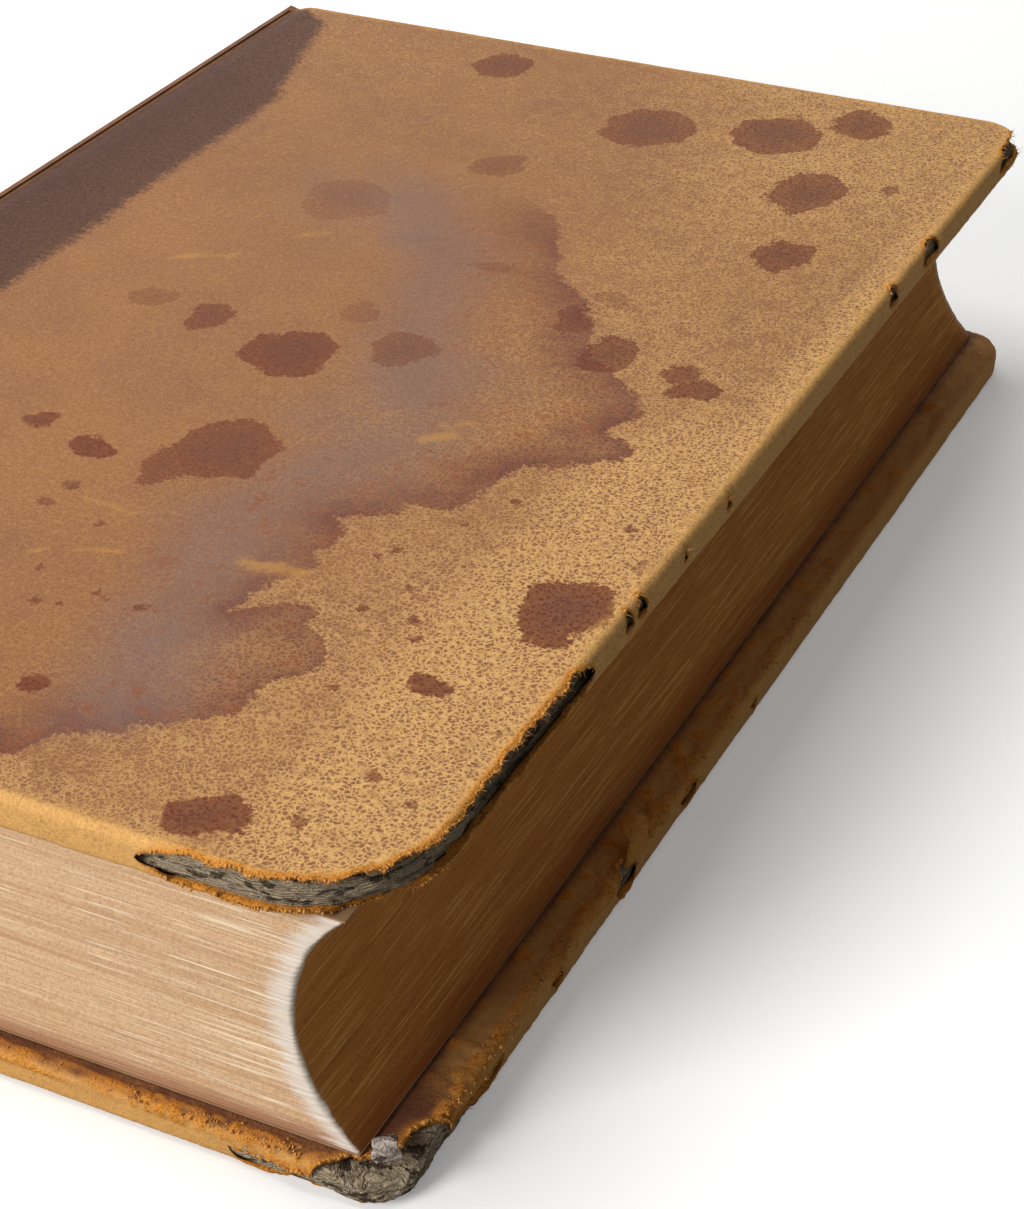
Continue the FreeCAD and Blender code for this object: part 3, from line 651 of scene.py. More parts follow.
def pulp_board(x, y, corner, bare, seed, nose=0.0, swell=0.15):
    """A board as a Shape in x, y and depth, frayed where bare, a function of places on its rim, is above 0.

    nose is how far the bare corner is worn down on the inner face. There the face falls away in terraces, one
    for each layer of pulp: the fall is rounded to whole layers, with a little of the slope left in. swell is
    how far the bare edge has spread outwards, and it is less along the straight part of the fore edge.
    """
    shape = Shape()
    plan = cover_plan(x, y, BOARD_INSET, corner)
    rim = around(plan)
    away = outward(rim, corner)
    length = np.concatenate([[0], np.cumsum(np.linalg.norm(np.diff(rim, axis=0), axis=-1))])
    worn = bare(rim)
    cap = spaced((0.5, 6, 0.4), (6, CAP_REACH, 1.5))
    side = np.linspace(0, 1, 26)
    inwards = np.concatenate([cap[::-1], 0.5 * (1 - np.sin(math.pi * side)) ** 3, cap])
    share = np.concatenate([np.zeros(len(cap)), side, np.ones(len(cap))])
    depth = OUTER_LEATHER + (BOARD_INNER - OUTER_LEATHER) * share[:, None] + np.zeros((1, len(rim)))
    place = np.stack([length + 0 * depth, depth], -1)
    layers = 0.34 * rough(place / np.array([2.2, 0.7]), 1.0, seed) + 0.14 * rough(place, 0.6, seed + 8)
    gaps = -0.8 * smooth(0.25, 0.6, noise(place / np.array([5.0, 0.8]), 1.0, seed + 30))
    sunk = 0.35 * smooth(20, 30, rim[:, 1]) * (1 - smooth(200, 220, rim[:, 1]))
    bulge = np.sin(math.pi * np.clip(share, 0.06, 0.94))[:, None] ** 0.4
    out = (worn * (swell - sunk + layers + gaps)) * bulge
    target = np.clip(rim, [BOARD_EDGE + 2, CAP_REACH], [WIDTH - CAP_REACH, LENGTH - CAP_REACH])
    level = rim + (target - rim) * (inwards / CAP_REACH)[:, None, None] + away * out[..., None]
    level[..., 0] = np.where(rim[:, 0] < BOARD_EDGE + 0.01, BOARD_EDGE, level[..., 0])
    tip = np.hypot(level[..., 0] - WIDTH, level[..., 1]) + 1.3 * rough(level, 3.5, seed + 50)
    fall = nose * (1 - smooth(2.0, 13.0, tip)) * share[:, None]
    terrace = np.round(fall / LAYER) * LAYER
    depth = depth - (0.75 * terrace + 0.25 * fall) + 0.05 * rough(level, 0.8, seed + 70) * worn
    numbers = shape.add(np.concatenate([level, depth[..., None]], -1))
    count = len(shape.points)
    fields = {"tear_shade": np.zeros(count), "layer": np.zeros(count)}
    # Painted shade: this field darkens the sunken tear of the bare rim along the fore edge.
    fields["tear_shade"][numbers] = 0.6 * worn * smooth(18, 32, rim[:, 1])
    warp = 0.25 * rough(place / np.array([4.0, 1.0]), 1.0, seed + 3)
    fields["layer"][numbers] = (depth + out * 0.6 + warp) / LAYER
    return shape, numbers, fields


def finish_board(shape, numbers, fields, is_front):
    """Turn depth into height, close the two faces and the spine edge, and give the fields for every point."""
    if is_front:
        shape.points[:, 2] = BOOK_TOP - shape.points[:, 2]
    shape.skin(numbers, turned=not is_front)
    middles = []
    for row, turned in ((numbers[0], True), (numbers[-1], False)):
        middles.append(len(shape.points))
        shape.cap(row, turned=turned if is_front else not turned)
    shape.cap(np.concatenate([numbers[:, 0], numbers[::-1, -1]]), turned=not is_front)
    rest = np.zeros(len(shape.points) - len(numbers.ravel()))
    return {key: np.concatenate([values, rest]) for key, values in fields.items()}


def bare_front(rim):
    """1 along the worn edge of the front board, and at the two holes, falling to 0 on either side."""
    tail = smooth(114, 119, rim[:, 0]) * (rim[:, 1] < 20)
    fore = (1 - smooth(57, 62, rim[:, 1])) * (rim[:, 0] > 128)
    far = smooth(221, 225, rim[:, 1]) * smooth(142, 145, rim[:, 0])
    return np.maximum.reduce([tail, fore, far])


def bare_back(rim):
    """1 at the worn corner of the back board, falling to 0 on either side."""
    tail = smooth(122, 129, rim[:, 0]) * (rim[:, 1] < 8)
    fore = (1 - smooth(28, 34, rim[:, 1])) * (rim[:, 0] > 140)
    return np.maximum(tail, fore)


board_x = spaced((BOARD_EDGE, 112, 6.0), (112, WIDTH - BOARD_INSET, 0.35))
front_board_y = spaced((BOARD_INSET, 76, 0.35), (76, LENGTH - BOARD_INSET, 6.0))
back_board_y = spaced((BOARD_INSET, 36, 0.35), (36, LENGTH - BOARD_INSET, 6.0))
front_pulp, rows, front_pulp_fields = pulp_board(board_x, front_board_y, FRONT_CORNER, bare_front, 5)
front_pulp_fields = finish_board(front_pulp, rows, front_pulp_fields, is_front=True)
back_pulp, rows, back_pulp_fields = pulp_board(board_x, back_board_y, BACK_CORNER, bare_back, 17, 2.4, 0.75)
back_pulp_fields = finish_board(back_pulp, rows, back_pulp_fields, is_front=False)
print(f"boards: {len(front_pulp.points)} and {len(back_pulp.points)} points")

# %% [markdown]
# ## Pages
#
# Some four hundred leaves are pressed together. Their cut edges make three walls of fine lines, all level,
# and no two leaves end quite in the same place. The block is a stack of level outlines: each follows the
# round of the spine and the hollow of the fore edge at its height, and is shifted in or out by chance.

# %% Stack the leaves
PAGES_TAIL, PAGES_HEAD = BLOCK_LOW[1], BLOCK_HIGH[1]
SHOULDER_LOW, SHOULDER_TOP = BLOCK_LOW[2], BLOCK_HIGH[2]
HALF = (PAGES_TOP - PAGES_BOTTOM) / 2
FORE_HOLLOW = 8.0
FORE_RADIUS = (HALF**2 + FORE_HOLLOW**2) / (2 * FORE_HOLLOW)
SHOULDER_TIP = -0.6
SHOULDER_ROOT = limits("front_flyleaf")[0][0]
SPINE_DEPTH = SHOULDER_TIP - BLOCK_LOW[0]
SHOULDER_HALF = (SHOULDER_TOP - SHOULDER_LOW) / 2
SPINE_RADIUS = (SHOULDER_HALF**2 + SPINE_DEPTH**2) / (2 * SPINE_DEPTH)
SPINE_AXIS = SPINE_RADIUS + BLOCK_LOW[0]
WORN_EDGE = 1.0


def leaf_stack():
    """The pages as a Shape: rows of points round the block at heights from its bottom to its top.

    The way round goes along the tail, round a worn corner, up the hollow fore edge, back along the head and
    down the round spine. Each row is moved out by a step of its own and by noise that is long along the leaf.
    """
    shape = Shape()
    height = np.linspace(PAGES_BOTTOM, PAGES_TOP, 226)
    hollow = np.sqrt(FORE_RADIUS**2 - (height - MIDDLE) ** 2) - (FORE_RADIUS - FORE_HOLLOW)
    fore = (PAGES_FORE - hollow)[:, None]
    back = (SPINE_AXIS - np.sqrt(SPINE_RADIUS**2 - (height - MIDDLE) ** 2))[:, None]
    across = spaced((0, 0.7, 0.02), (0.7, 1, 0.0052))[None, :-1]
    bend = np.linspace(0, math.pi / 2, 7)[None, :-1]
    up = spaced((0, 0.004, 0.002), (0.004, 0.35, 0.0065), (0.35, 1, 0.02))[None, :-1]
    radius = WORN_EDGE * (0.75 + 0.35 * rough(height[:, None] / 2.2, 1.0, 25))[:, None]
    tail_x = back + (fore - radius - back) * across
    corner_x = fore - radius + radius * np.sin(bend)
    corner_y = PAGES_TAIL + radius - radius * np.cos(bend)
    fore_y = PAGES_TAIL + radius + (PAGES_HEAD - PAGES_TAIL - radius) * up
    head_x = fore + (back - fore) * np.linspace(0, 1, 50)[None, :-1]
    spine_y = PAGES_HEAD + (PAGES_TAIL - PAGES_HEAD) * np.linspace(0, 1, 30)[None, :-1]
    x = np.concatenate([tail_x, corner_x, fore + 0 * fore_y, head_x, back + 0 * spine_y], 1)
    y = np.concatenate([PAGES_TAIL + 0 * tail_x, corner_y, fore_y, PAGES_HEAD + 0 * head_x,
                        spine_y + 0 * back], 1)
    tail_way, fore_way, head_way, spine_way = (
        np.broadcast_to(np.array(side, float), (part.shape[1], 2))
        for side, part in (((0, -1), tail_x), ((1, 0), fore_y), ((0, 1), head_x), ((-1, 0), spine_y))
    )
    corner_way = np.stack([np.sin(bend[0]), -np.cos(bend[0])], -1)
    way = np.concatenate([tail_way, corner_way, fore_way, head_way, spine_way])
    z = height[:, None] + 0 * x
    place = np.stack([x + y, z], -1)
    each_leaf = 0.055 * hashed(np.arange(len(height))[:, None], 3)[:, None]
    wander = 0.06 * noise(place / np.array([26.0, 0.3]), 1.0, 21)
    wander = wander + 0.14 * noise(place / np.array([60.0, 3.2]), 1.0, 22)
    sunk = -0.22 * smooth(0.5, 0.85, noise(place / np.array([90.0, 0.45]), 1.0, 23))
    out = (each_leaf + wander + sunk) * smooth(0, 0.6, np.minimum(z - PAGES_BOTTOM, PAGES_TOP - z))
    out = np.where(way[:, 0] < -0.5, 0, out - 0.1)
    points = np.stack([x + way[:, 0] * out, y + way[:, 1] * out, z], -1)
    from_corner = np.concatenate([fore - tail_x, radius * np.cos(bend) ** 2, PAGES_TAIL - fore_y + 0 * fore,
                                  50 + 0 * head_x, 50 + 0 * (spine_y + back)], 1)
    numbers = shape.add(points)
    shape.skin(np.concatenate([numbers, numbers[:, :1]], 1)[::-1])
    shape.cap(numbers[0], turned=True)
    shape.cap(numbers[-1])
    return shape, from_corner.ravel()


def add_shoulder(shape, upper):
    """One shoulder of the block: the part between the round of the spine and the sloping joint."""
    z = np.linspace(PAGES_TOP - 0.3, SHOULDER_TOP, 12)
    arc = SPINE_AXIS - np.sqrt(SPINE_RADIUS**2 - (z - MIDDLE) ** 2)
    share = np.clip((z - PAGES_TOP) / (SHOULDER_TOP - PAGES_TOP), 0, 1)
    slope = SHOULDER_ROOT + (SHOULDER_TIP - SHOULDER_ROOT) * share
    section = np.concatenate([np.stack([slope, z], -1), np.stack([arc, z], -1)[-2::-1]])
    if not upper:
        section[:, 1] = BOOK_TOP - section[:, 1]
    y = np.linspace(PAGES_TAIL, PAGES_HEAD, 60)[:, None]
    numbers = shape.add(np.stack([section[:, 0] + 0 * y, y + 0 * section[:, 0], section[:, 1] + 0 * y], -1))
    ring = np.concatenate([numbers, numbers[:, :1]], 1)
    shape.skin(ring, turned=not upper)
    shape.cap(numbers[0], turned=upper)
    shape.cap(numbers[-1], turned=not upper)


pages_shape, from_corner = leaf_stack()
add_shoulder(pages_shape, upper=True)
add_shoulder(pages_shape, upper=False)
# Painted shade: the second field darkens the leaves next to the covers, most by the back cover.
pages_fields = {
    "from_corner": np.concatenate([from_corner, np.full(len(pages_shape.points) - len(from_corner), 50.0)]),
    "shade_by_cover": np.maximum(1 - smooth(0.2, 3.4, pages_shape.points[:, 2] - PAGES_BOTTOM),
                           0.6 - 0.6 * smooth(0.2, 2.6, PAGES_TOP - pages_shape.points[:, 2])),
}
print(f"pages: {len(pages_shape.points)} points")

# %% [markdown]
# ## The spine
#
# The sections are sewn round cords, and the leather is moulded over them, so each cord stands up as a raised
# band. The skin is one sheet with an outer and an inner face: the outer one is the round of the spine plus a
# swelling at each cord, as high as the cord there stands above the round. At head and tail the leather is
# turned in over the headband, so there it is twice as thick.

# %% Mould the leather over the spine
LEATHER_PLY = 1.0
SKIN_INNER = SPINE_AXIS - limits("spine_lining_1")[0][0] + 0.05
SKIN_OUTER = SKIN_INNER + LEATHER_PLY
SPINE_LOW, SPINE_HIGH = limits("spine_leather")
SPINE_HALF = (SPINE_HIGH[2] - SPINE_LOW[2]) / 2
CORD_PLACES = [np.mean([limit[1] for limit in limits(f"sewing_cord_{k}")]) for k in range(1, 6)]
BAND_RISE = SPINE_AXIS - SKIN_OUTER - SPINE_LOW[0]
BAND_SPAN = 18.0
BAND_HALF = 3.6
TURNED_END = 2.6


def spine_face(y, angle, radius):
    """Points at these distances along the spine and these angles about its axis, at this radius."""
    x = SPINE_AXIS - radius * np.cos(angle)
    z = MIDDLE + radius * np.sin(angle)
    return np.stack([x + 0 * y, y + 0 * x, z + 0 * y], -1)


def spine_skin():
    """The leather of the spine, as a Shape, with a field that is 1 on the crown of a raised band."""
    shape = Shape()
    y = spaced((SPINE_LOW[1], SPINE_LOW[1] + 4, 0.4), (SPINE_LOW[1] + 4, SPINE_HIGH[1] - 4, 0.8),
               (SPINE_HIGH[1] - 4, SPINE_HIGH[1], 0.4))[:, None]
    outer_half, inner_half = (math.asin(SPINE_HALF / radius) for radius in (SKIN_OUTER, SKIN_INNER))
    share = np.linspace(-1, 1, 73)[None]
    rise = np.clip(1 - (SKIN_OUTER * np.sin(share * outer_half) / BAND_SPAN) ** 2, 0, 1)
    swell = sum((1 + np.cos(math.pi * np.clip((y - cord) / BAND_HALF, -1, 1))) / 2 for cord in CORD_PLACES)
    flat = spine_face(y, share * outer_half, SKIN_OUTER)
    lumps = unevenness(flat, 71) * 0.8 * (1 - np.abs(share) ** 6)
    outer = spine_face(y, share * outer_half, SKIN_OUTER - 0.12 + BAND_RISE * rise * swell + lumps)
    end = np.minimum(y - SPINE_LOW[1], SPINE_HIGH[1] - y)
    turned = LEATHER_PLY * (1 - smooth(TURNED_END - 0.3, TURNED_END, end))
    inner = spine_face(y, share * inner_half, SKIN_INNER - turned + 0.02)
    outer_numbers, inner_numbers = shape.add(outer), shape.add(inner)
    shape.skin(outer_numbers, turned=True)
    shape.skin(inner_numbers)
    for row, way in ((0, -1), (-1, 1)):
        round_over = np.array([0, 0.35 * way, 0]) * (1 - share[0] ** 20)[:, None]
        between = [outer[row] + (inner[row] - outer[row]) * t + round_over * math.sin(math.pi * t)
                   for t in (0.2, 0.4, 0.6, 0.8)]
        strip = np.concatenate([outer_numbers[row][None], shape.add(np.stack(between)),
                                inner_numbers[row][None]])
        shape.skin(strip, turned=way > 0)
    for column, way in ((0, -1), (-1, 1)):
        between = [outer[:, column] + (inner[:, column] - outer[:, column]) * t
                   for t in (0.2, 0.4, 0.6, 0.8)]
        strip = np.concatenate([outer_numbers[:, column][None], shape.add(np.stack(between)),
                                inner_numbers[:, column][None]])
        shape.skin(strip, turned=way < 0)
    crown = np.zeros(len(shape.points))
    crown[outer_numbers] = rise * swell
    return shape, crown


spine_shape, spine_crown = spine_skin()
spine_fields = {"ochre": 0.1 + 0.6 * spine_crown, "edge": np.full(len(spine_crown), 50.0)}
print(f"spine: radius {SKIN_OUTER:.1f} mm, {len(CORD_PLACES)} bands that rise {BAND_RISE:.2f} mm")

# %% [markdown]
# Where a cover swings, leather joins it to the spine outside, and the fold of the endpapers joins it to the
# pages inside. On the book both are narrow sheets that bend between two bodies as the cover opens; here they
# are made for the closed book. They are drawn as a path across the joint, given a thickness, and carried
# from tail to head.

# %% Draw the joints
def carried(path, thickness, low, high, rows):
    """A sheet as a Shape: a path of (x, z) places, carried along y from low to high.

    The path is rounded three times: each time its corners are cut a quarter of the way along both sides.
    """
    path = np.array(path, float)
    for _ in range(3):
        near, far = path[:-1] * 0.75 + path[1:] * 0.25, path[:-1] * 0.25 + path[1:] * 0.75
        path = np.concatenate([path[:1], np.stack([near, far], 1).reshape(-1, 2), path[-1:]])
    way = np.gradient(path, axis=0)
    side = np.stack([-way[:, 1], way[:, 0]], -1) / np.linalg.norm(way, axis=1, keepdims=True)
    ring = np.concatenate([path + side * thickness / 2, (path - side * thickness / 2)[::-1]])
    y = np.linspace(low, high, rows)[:, None]
    shape = Shape()
    points = np.stack([ring[:, 0] + 0 * y, y + 0 * ring[:, 0], ring[:, 1] + 0 * y], -1)
    numbers = shape.add(points)
    shape.skin(np.concatenate([numbers, numbers[:, :1]], 1), turned=True)
    half = len(path)
    shape.skin(np.stack([numbers[0, :half], numbers[0, half:][::-1]]), turned=True)
    shape.skin(np.stack([numbers[-1, :half], numbers[-1, half:][::-1]]))
    return shape


def mirrored(shape):
    """The same shape upside down about mid height, with its faces turned so that they still face outwards."""
    shape.points[:, 2] = BOOK_TOP - shape.points[:, 2]
    shape.faces = shape.faces[:, ::-1]
    return shape


LEATHER_JOINT = [(-1.6, 46.15), (-0.9, 46.42), (0.0, 46.35), (1.2, 46.1), (2.3, 46.2)]
PAPER_JOINT = [(1.75, 41.93), (1.55, 41.93), (1.2, 42.6), (-0.35, 45.3), (0.1, 45.75), (1.5, 45.8),
               (2.2, 45.2), (2.2, 42.7), (2.3, 42.02), (3.6, 42.02)]
joint_shapes = {
    "front_joint_leather": carried(LEATHER_JOINT, 0.4, 1.0, LENGTH - 1.0, 90),
    "back_joint_leather": mirrored(carried(LEATHER_JOINT, 0.4, 1.0, LENGTH - 1.0, 90)),
    "front_joint_paper": carried(PAPER_JOINT, 0.1, PAGES_TAIL, PAGES_HEAD, 90),
    "back_joint_paper": mirrored(carried(PAPER_JOINT, 0.1, PAGES_TAIL, PAGES_HEAD, 90)),
}
print("joint sheets:", ", ".join(joint_shapes))

# %% [markdown]
# A headband is thread wound over a core at each end of the spine. Its turns are a ripple along a bent tube,
# and every few turns the thread changes colour.

# %% Wind the headbands
THREAD = 0.55


def headband(part):
    """Thread wound round a core that follows the spine: a tube bent in an arc, rippled once for each turn."""
    low, high = limits(part)
    core = (high[1] - low[1]) / 2
    middle = (low[1] + high[1]) / 2
    radius = SPINE_AXIS - low[0] - core
    half = math.asin(((high[2] - low[2]) / 2 - core) / radius)
    length = 2 * half * radius
    turns = round(length / THREAD)
    along = np.linspace(-1, 1, turns * 6 + 1)[:, None]
    past = np.clip(np.abs(along) * length / 2 - length / 2 + core, 0, core) / core
    end = np.sqrt(np.clip(1 - past**2, 0.02, 1))
    about = np.linspace(0, 2 * math.pi, 13)[None, :-1]
    thick = core * end * (0.95 + 0.05 * np.cos(2 * math.pi * (along + 1) / 2 * turns + about))
    reach = radius + thick * np.cos(about)
    points = np.stack([SPINE_AXIS - reach * np.cos(along * half), middle + thick * np.sin(about) + 0 * along,
                       MIDDLE + reach * np.sin(along * half)], -1)
    shape = Shape()
    numbers = shape.add(points)
    shape.skin(np.concatenate([numbers, numbers[:, :1]], 1))
    shape.cap(numbers[0], turned=True)
    shape.cap(numbers[-1])
    turn = np.zeros(len(shape.points))
    turn[numbers] = (along + 1) / 2 * turns + 0 * about
    return shape, turn


headbands = {part: headband(part) for part in ("headband_tail", "headband_head")}
print("headbands:", {part: len(shape.points) for part, (shape, _) in headbands.items()})

# %% [markdown]
# ## Stains
#
# Water and oil have marked the front cover. A drop leaves a round spot with a ragged rim, and a flood leaves
# a tide line: a wide pool, darkest just inside its crisp border. A stain is given to the shader as a
# distance in mm from its border, positive inside, so that the shader can roughen the border finely.

# %% Measure the stains on the front cover
SPOTS = [
    (52.1, 226.6, 5.0, 6.0, 0.8), (89.6, 210.9, 8.0, 9.0, 0.75), (110.7, 218.3, 8.0, 9.0, 0.85),
    (122.9, 227.6, 5.5, 6.5, 0.85), (124.6, 196.9, 6.5, 8.0, 0.85), (129.3, 173.0, 5.5, 6.0, 0.85),
    (71.7, 185.4, 4.5, 5.0, 0.5), (136.7, 203.3, 1.5, 2.0, 0.7), (118.1, 129.3, 4.6, 5.2, 0.85),
    (109.5, 137.6, 3.2, 5.6, 0.6), (130.6, 129.3, 3.0, 3.2, 0.85), (134.1, 124.3, 3.5, 3.6, 0.9),
    (111.0, 146.9, 3.4, 3.0, 0.4), (88.9, 149.0, 4.5, 1.8, 0.4), (54.6, 162.6, 8.0, 8.0, 0.3),
    (78.1, 126.1, 3.2, 3.6, 0.35), (88.9, 117.6, 4.8, 5.2, 0.55), (44.3, 117.1, 3.6, 3.8, 0.4),
    (56.7, 115.0, 3.7, 4.2, 0.8), (73.9, 110.4, 7.2, 7.6, 0.9), (81.4, 81.1, 7.0, 9.2, 0.8),
    (75.5, 73.0, 3.5, 5.5, 0.75), (51.4, 77.3, 2.7, 2.7, 0.9), (62.9, 72.6, 3.4, 3.4, 0.95),
    (66.4, 63.3, 1.6, 1.6, 0.8), (65.0, 58.0, 1.4, 1.4, 0.7), (76.0, 56.1, 0.8, 0.8, 0.8),
    (142.3, 63.6, 6.2, 8.2, 1.0), (134.0, 41.6, 3.6, 2.6, 1.0), (123.1, 6.9, 5.4, 4.6, 0.95),
    (89.6, 20.4, 2.2, 2.2, 0.95), (92.0, 41.0, 1.1, 1.1, 0.9), (78.5, 37.0, 0.9, 0.9, 0.8),
    (82.0, 37.5, 0.7, 0.7, 0.8), (118.3, 53.0, 0.8, 0.8, 0.9), (125.5, 53.0, 1.1, 1.1, 0.9),
    (127.8, 49.7, 1.0, 1.0, 0.9), (136.8, 52.5, 0.6, 0.6, 0.8), (128.5, 29.0, 0.7, 0.7, 0.8),
    (123.5, 35.8, 0.7, 0.7, 0.8), (137.2, 22.0, 0.9, 0.9, 0.8), (143.7, 19.0, 0.8, 0.8, 0.7),
    (146.5, 35.7, 0.7, 0.7, 0.8), (146.5, 29.0, 0.6, 0.6, 0.8), (133.0, 11.0, 1.2, 1.2, 0.8),
    (141.7, 84.8, 1.0, 1.0, 0.9), (143.4, 87.0, 0.6, 0.6, 0.8), (124.5, 85.0, 0.8, 0.8, 0.8),
    (120.8, 77.0, 0.9, 0.9, 0.8), (116.0, 67.0, 1.0, 1.0, 0.8), (121.5, 60.0, 0.8, 0.8, 0.8),
    (147.0, 77.0, 1.4, 1.4, 0.5), (114.0, 64.5, 0.7, 0.7, 0.8), (75.0, 43.5, 0.9, 0.9, 0.7),
    (86.8, 40.8, 0.7, 0.7, 0.7), (85.0, 41.5, 0.8, 0.8, 0.7),
]
TIDE_SHORE = [
    (91, 4), (96, 9), (99, 14), (105.5, 16.5), (107, 19.5), (110, 21), (113.5, 24.5), (115.5, 26),
    (115.7, 30), (115, 33), (118, 35), (120, 38), (119.5, 42), (117.5, 44.5), (114, 46), (114, 49),
    (112, 50.5), (107, 49.5), (103, 46), (103.5, 50), (106, 55), (107, 57), (109.5, 58.5), (105.5, 61),
    (107.5, 65), (106, 69), (104.5, 71), (108, 73), (111, 75), (111.5, 78), (115, 79), (118, 80),
    (120, 84), (119.5, 87), (119, 90), (122, 94), (125, 96), (128, 98), (131, 100), (134, 103),
    (131, 106), (128, 108), (130, 113), (128, 120), (116, 128), (110, 142), (100, 152),
]
TIDE_BORDER = TIDE_SHORE + [(90, 170), (60, 190), (0, 180), (0, -20), (80, -20)]
CORE_LINE = [(62, 168), (80, 150), (92, 118), (102, 96), (92, 66), (97, 40), (103, 19)]
GREY_PATCHES = [
    (99, 112, 14, 0.8), (92, 96, 12, 0.8), (97, 60, 9, 0.7), (60, 165, 20, 0.6), (103, 84, 10, 0.7),
]
SCRAPES = [
    ((69.5, 61.2), (78.5, 60.4), 0.4), ((70.5, 46.3), (82.5, 51.6), 0.35), ((40, 131), (45, 134), 1.0),
    ((46, 134), (50, 137), 0.8), ((55, 147), (58, 149), 0.8), ((105, 95), (109, 99), 1.2),
    ((106, 100), (109, 102), 0.9), ((98.5, 56), (107, 57), 1.3),
]
BAND_EDGE = [
    (0, 21.6), (196, 21.4), (206, 17.5), (214, 15.5), (226, 12.5), (233, 10.0), (237, 4.0), (240, -4.0),
]


def segment_distance(places, start, end):
    """Distance in mm of each place from the line between two points."""
    start, way = np.array(start, float), np.array(end, float) - np.array(start, float)
    share = np.clip(((places - start) @ way) / (way @ way), 0, 1)
    return np.linalg.norm(places - start - share[:, None] * way, axis=1)


def inside_distance(places, corners):
    """Distance from a closed outline, positive inside: an odd number of its sides lies to the right there."""
    nearest, odd = np.full(len(places), 1e9), np.zeros(len(places), bool)
    for start, end in zip(corners, corners[1:] + corners[:1]):
        nearest = np.minimum(nearest, segment_distance(places, start, end))
        if start[1] != end[1]:
            across = (start[1] > places[:, 1]) != (end[1] > places[:, 1])
            level = start[0] + (places[:, 1] - start[1]) * (end[0] - start[0]) / (end[1] - start[1])
            odd ^= across & (places[:, 0] < level)
    return np.where(odd, nearest, -nearest)


def front_stains(places):
    """The stains of the front cover as fields at these places of its plan."""
    bent = places + np.stack([1.2 * rough(places, 2.8, 301) + 1.5 * noise(places, 5.0, 303),
                              1.2 * rough(places, 2.8, 302) + 1.5 * noise(places, 5.0, 304)], -1)
    spot, strength = np.full(len(places), -9.0), np.zeros(len(places))
    for x, y, wide, long, dark in SPOTS:
        bend = min(1.0, min(wide, long) / 3.5)
        here = places + (bent - places) * bend - np.array([x, y])
        inside = (1 - np.hypot(here[:, 0] / wide, here[:, 1] / long)) * min(wide, long)
        nearer = inside > spot
        spot, strength = np.where(nearer, inside, spot), np.where(nearer, dark, strength)
    grey, shore = np.zeros(len(places)), np.full(len(places), 1e9)
    for start, end in zip(CORE_LINE[:-1], CORE_LINE[1:]):
        grey = np.maximum(grey, np.exp(-((segment_distance(places, start, end) / 10.0) ** 2)))
    for x, y, size, dark in GREY_PATCHES:
        gap = (places[:, 0] - x) ** 2 + (places[:, 1] - y) ** 2
        grey = np.maximum(grey, dark * np.exp(-(gap / size**2)))
    for start, end in zip(TIDE_SHORE[:-1], TIDE_SHORE[1:]):
        shore = np.minimum(shore, segment_distance(places, start, end))
    fade = 1 - smooth(9, 40, shore + 9 * rough(places, 13.0, 311))
    scrape = np.full(len(places), -5.0)
    for start, end, half in SCRAPES:
        scrape = np.maximum(scrape, half - segment_distance(places, start, end))
    edge_y, edge_x = zip(*BAND_EDGE)
    band_x = np.interp(places[:, 1], edge_y, edge_x)
    return {
        "scrape": scrape,
        "spot": spot,
        "strength": strength,
        "tide": inside_distance(0.5 * places + 0.5 * bent, TIDE_BORDER),
        "pool": fade * (0.85 + 0.3 * rough(places, 7.0, 312)),
        "grey": grey * (0.8 + 0.35 * rough(places, 9.0, 310)),
        "band": band_x - places[:, 0],
        "ochre": np.clip(ochre_share(places), 0, 1),
    }


def ochre_share(places):
    """How rubbed and golden the leather is, from 0 to 1: most by the worn corner, least by the spine."""
    corner = smooth(112, 138, places[:, 0]) * (1 - smooth(95, 150, places[:, 1]))
    fore = smooth(138, 147, places[:, 0])
    tail = (1 - smooth(3, 16, places[:, 1])) * smooth(60, 100, places[:, 0])
    wide = 0.5 * smooth(60, 125, places[:, 0]) + 0.25 * smooth(150, 235, places[:, 1])
    return np.maximum.reduce([corner, 0.9 * fore, 0.6 * tail, wide]) + 0.15 * rough(places, 16, 320)


front_count = len(front_shape.points)
front_fields.update(front_stains(front_plan))
print(f"stain fields at {front_count} points, pool covers {np.mean(front_fields['tide'] > 0):.0%} of them")

# %% [markdown]
# ## Calfskin
#
# Calf is vegetable-tanned hide, dyed tan and once glazed. Its grain is a net of fine creases with hair
# pores about a millimetre apart. Handling rubs the ridges back to a golden suede and leaves the pores dark,
# so the pattern is a noise of pore size, cut off higher where the leather is more rubbed. Each stain is one
# more layer of colour over the last, with its mask taken from the distance field and roughened by noise.

# %% Tan the calfskin
# Hair pores of calf are 0.1 to 0.3 mm apart, in groups. The net is drawn as coarse as a group, to show.
PORE = 0.72 * MM


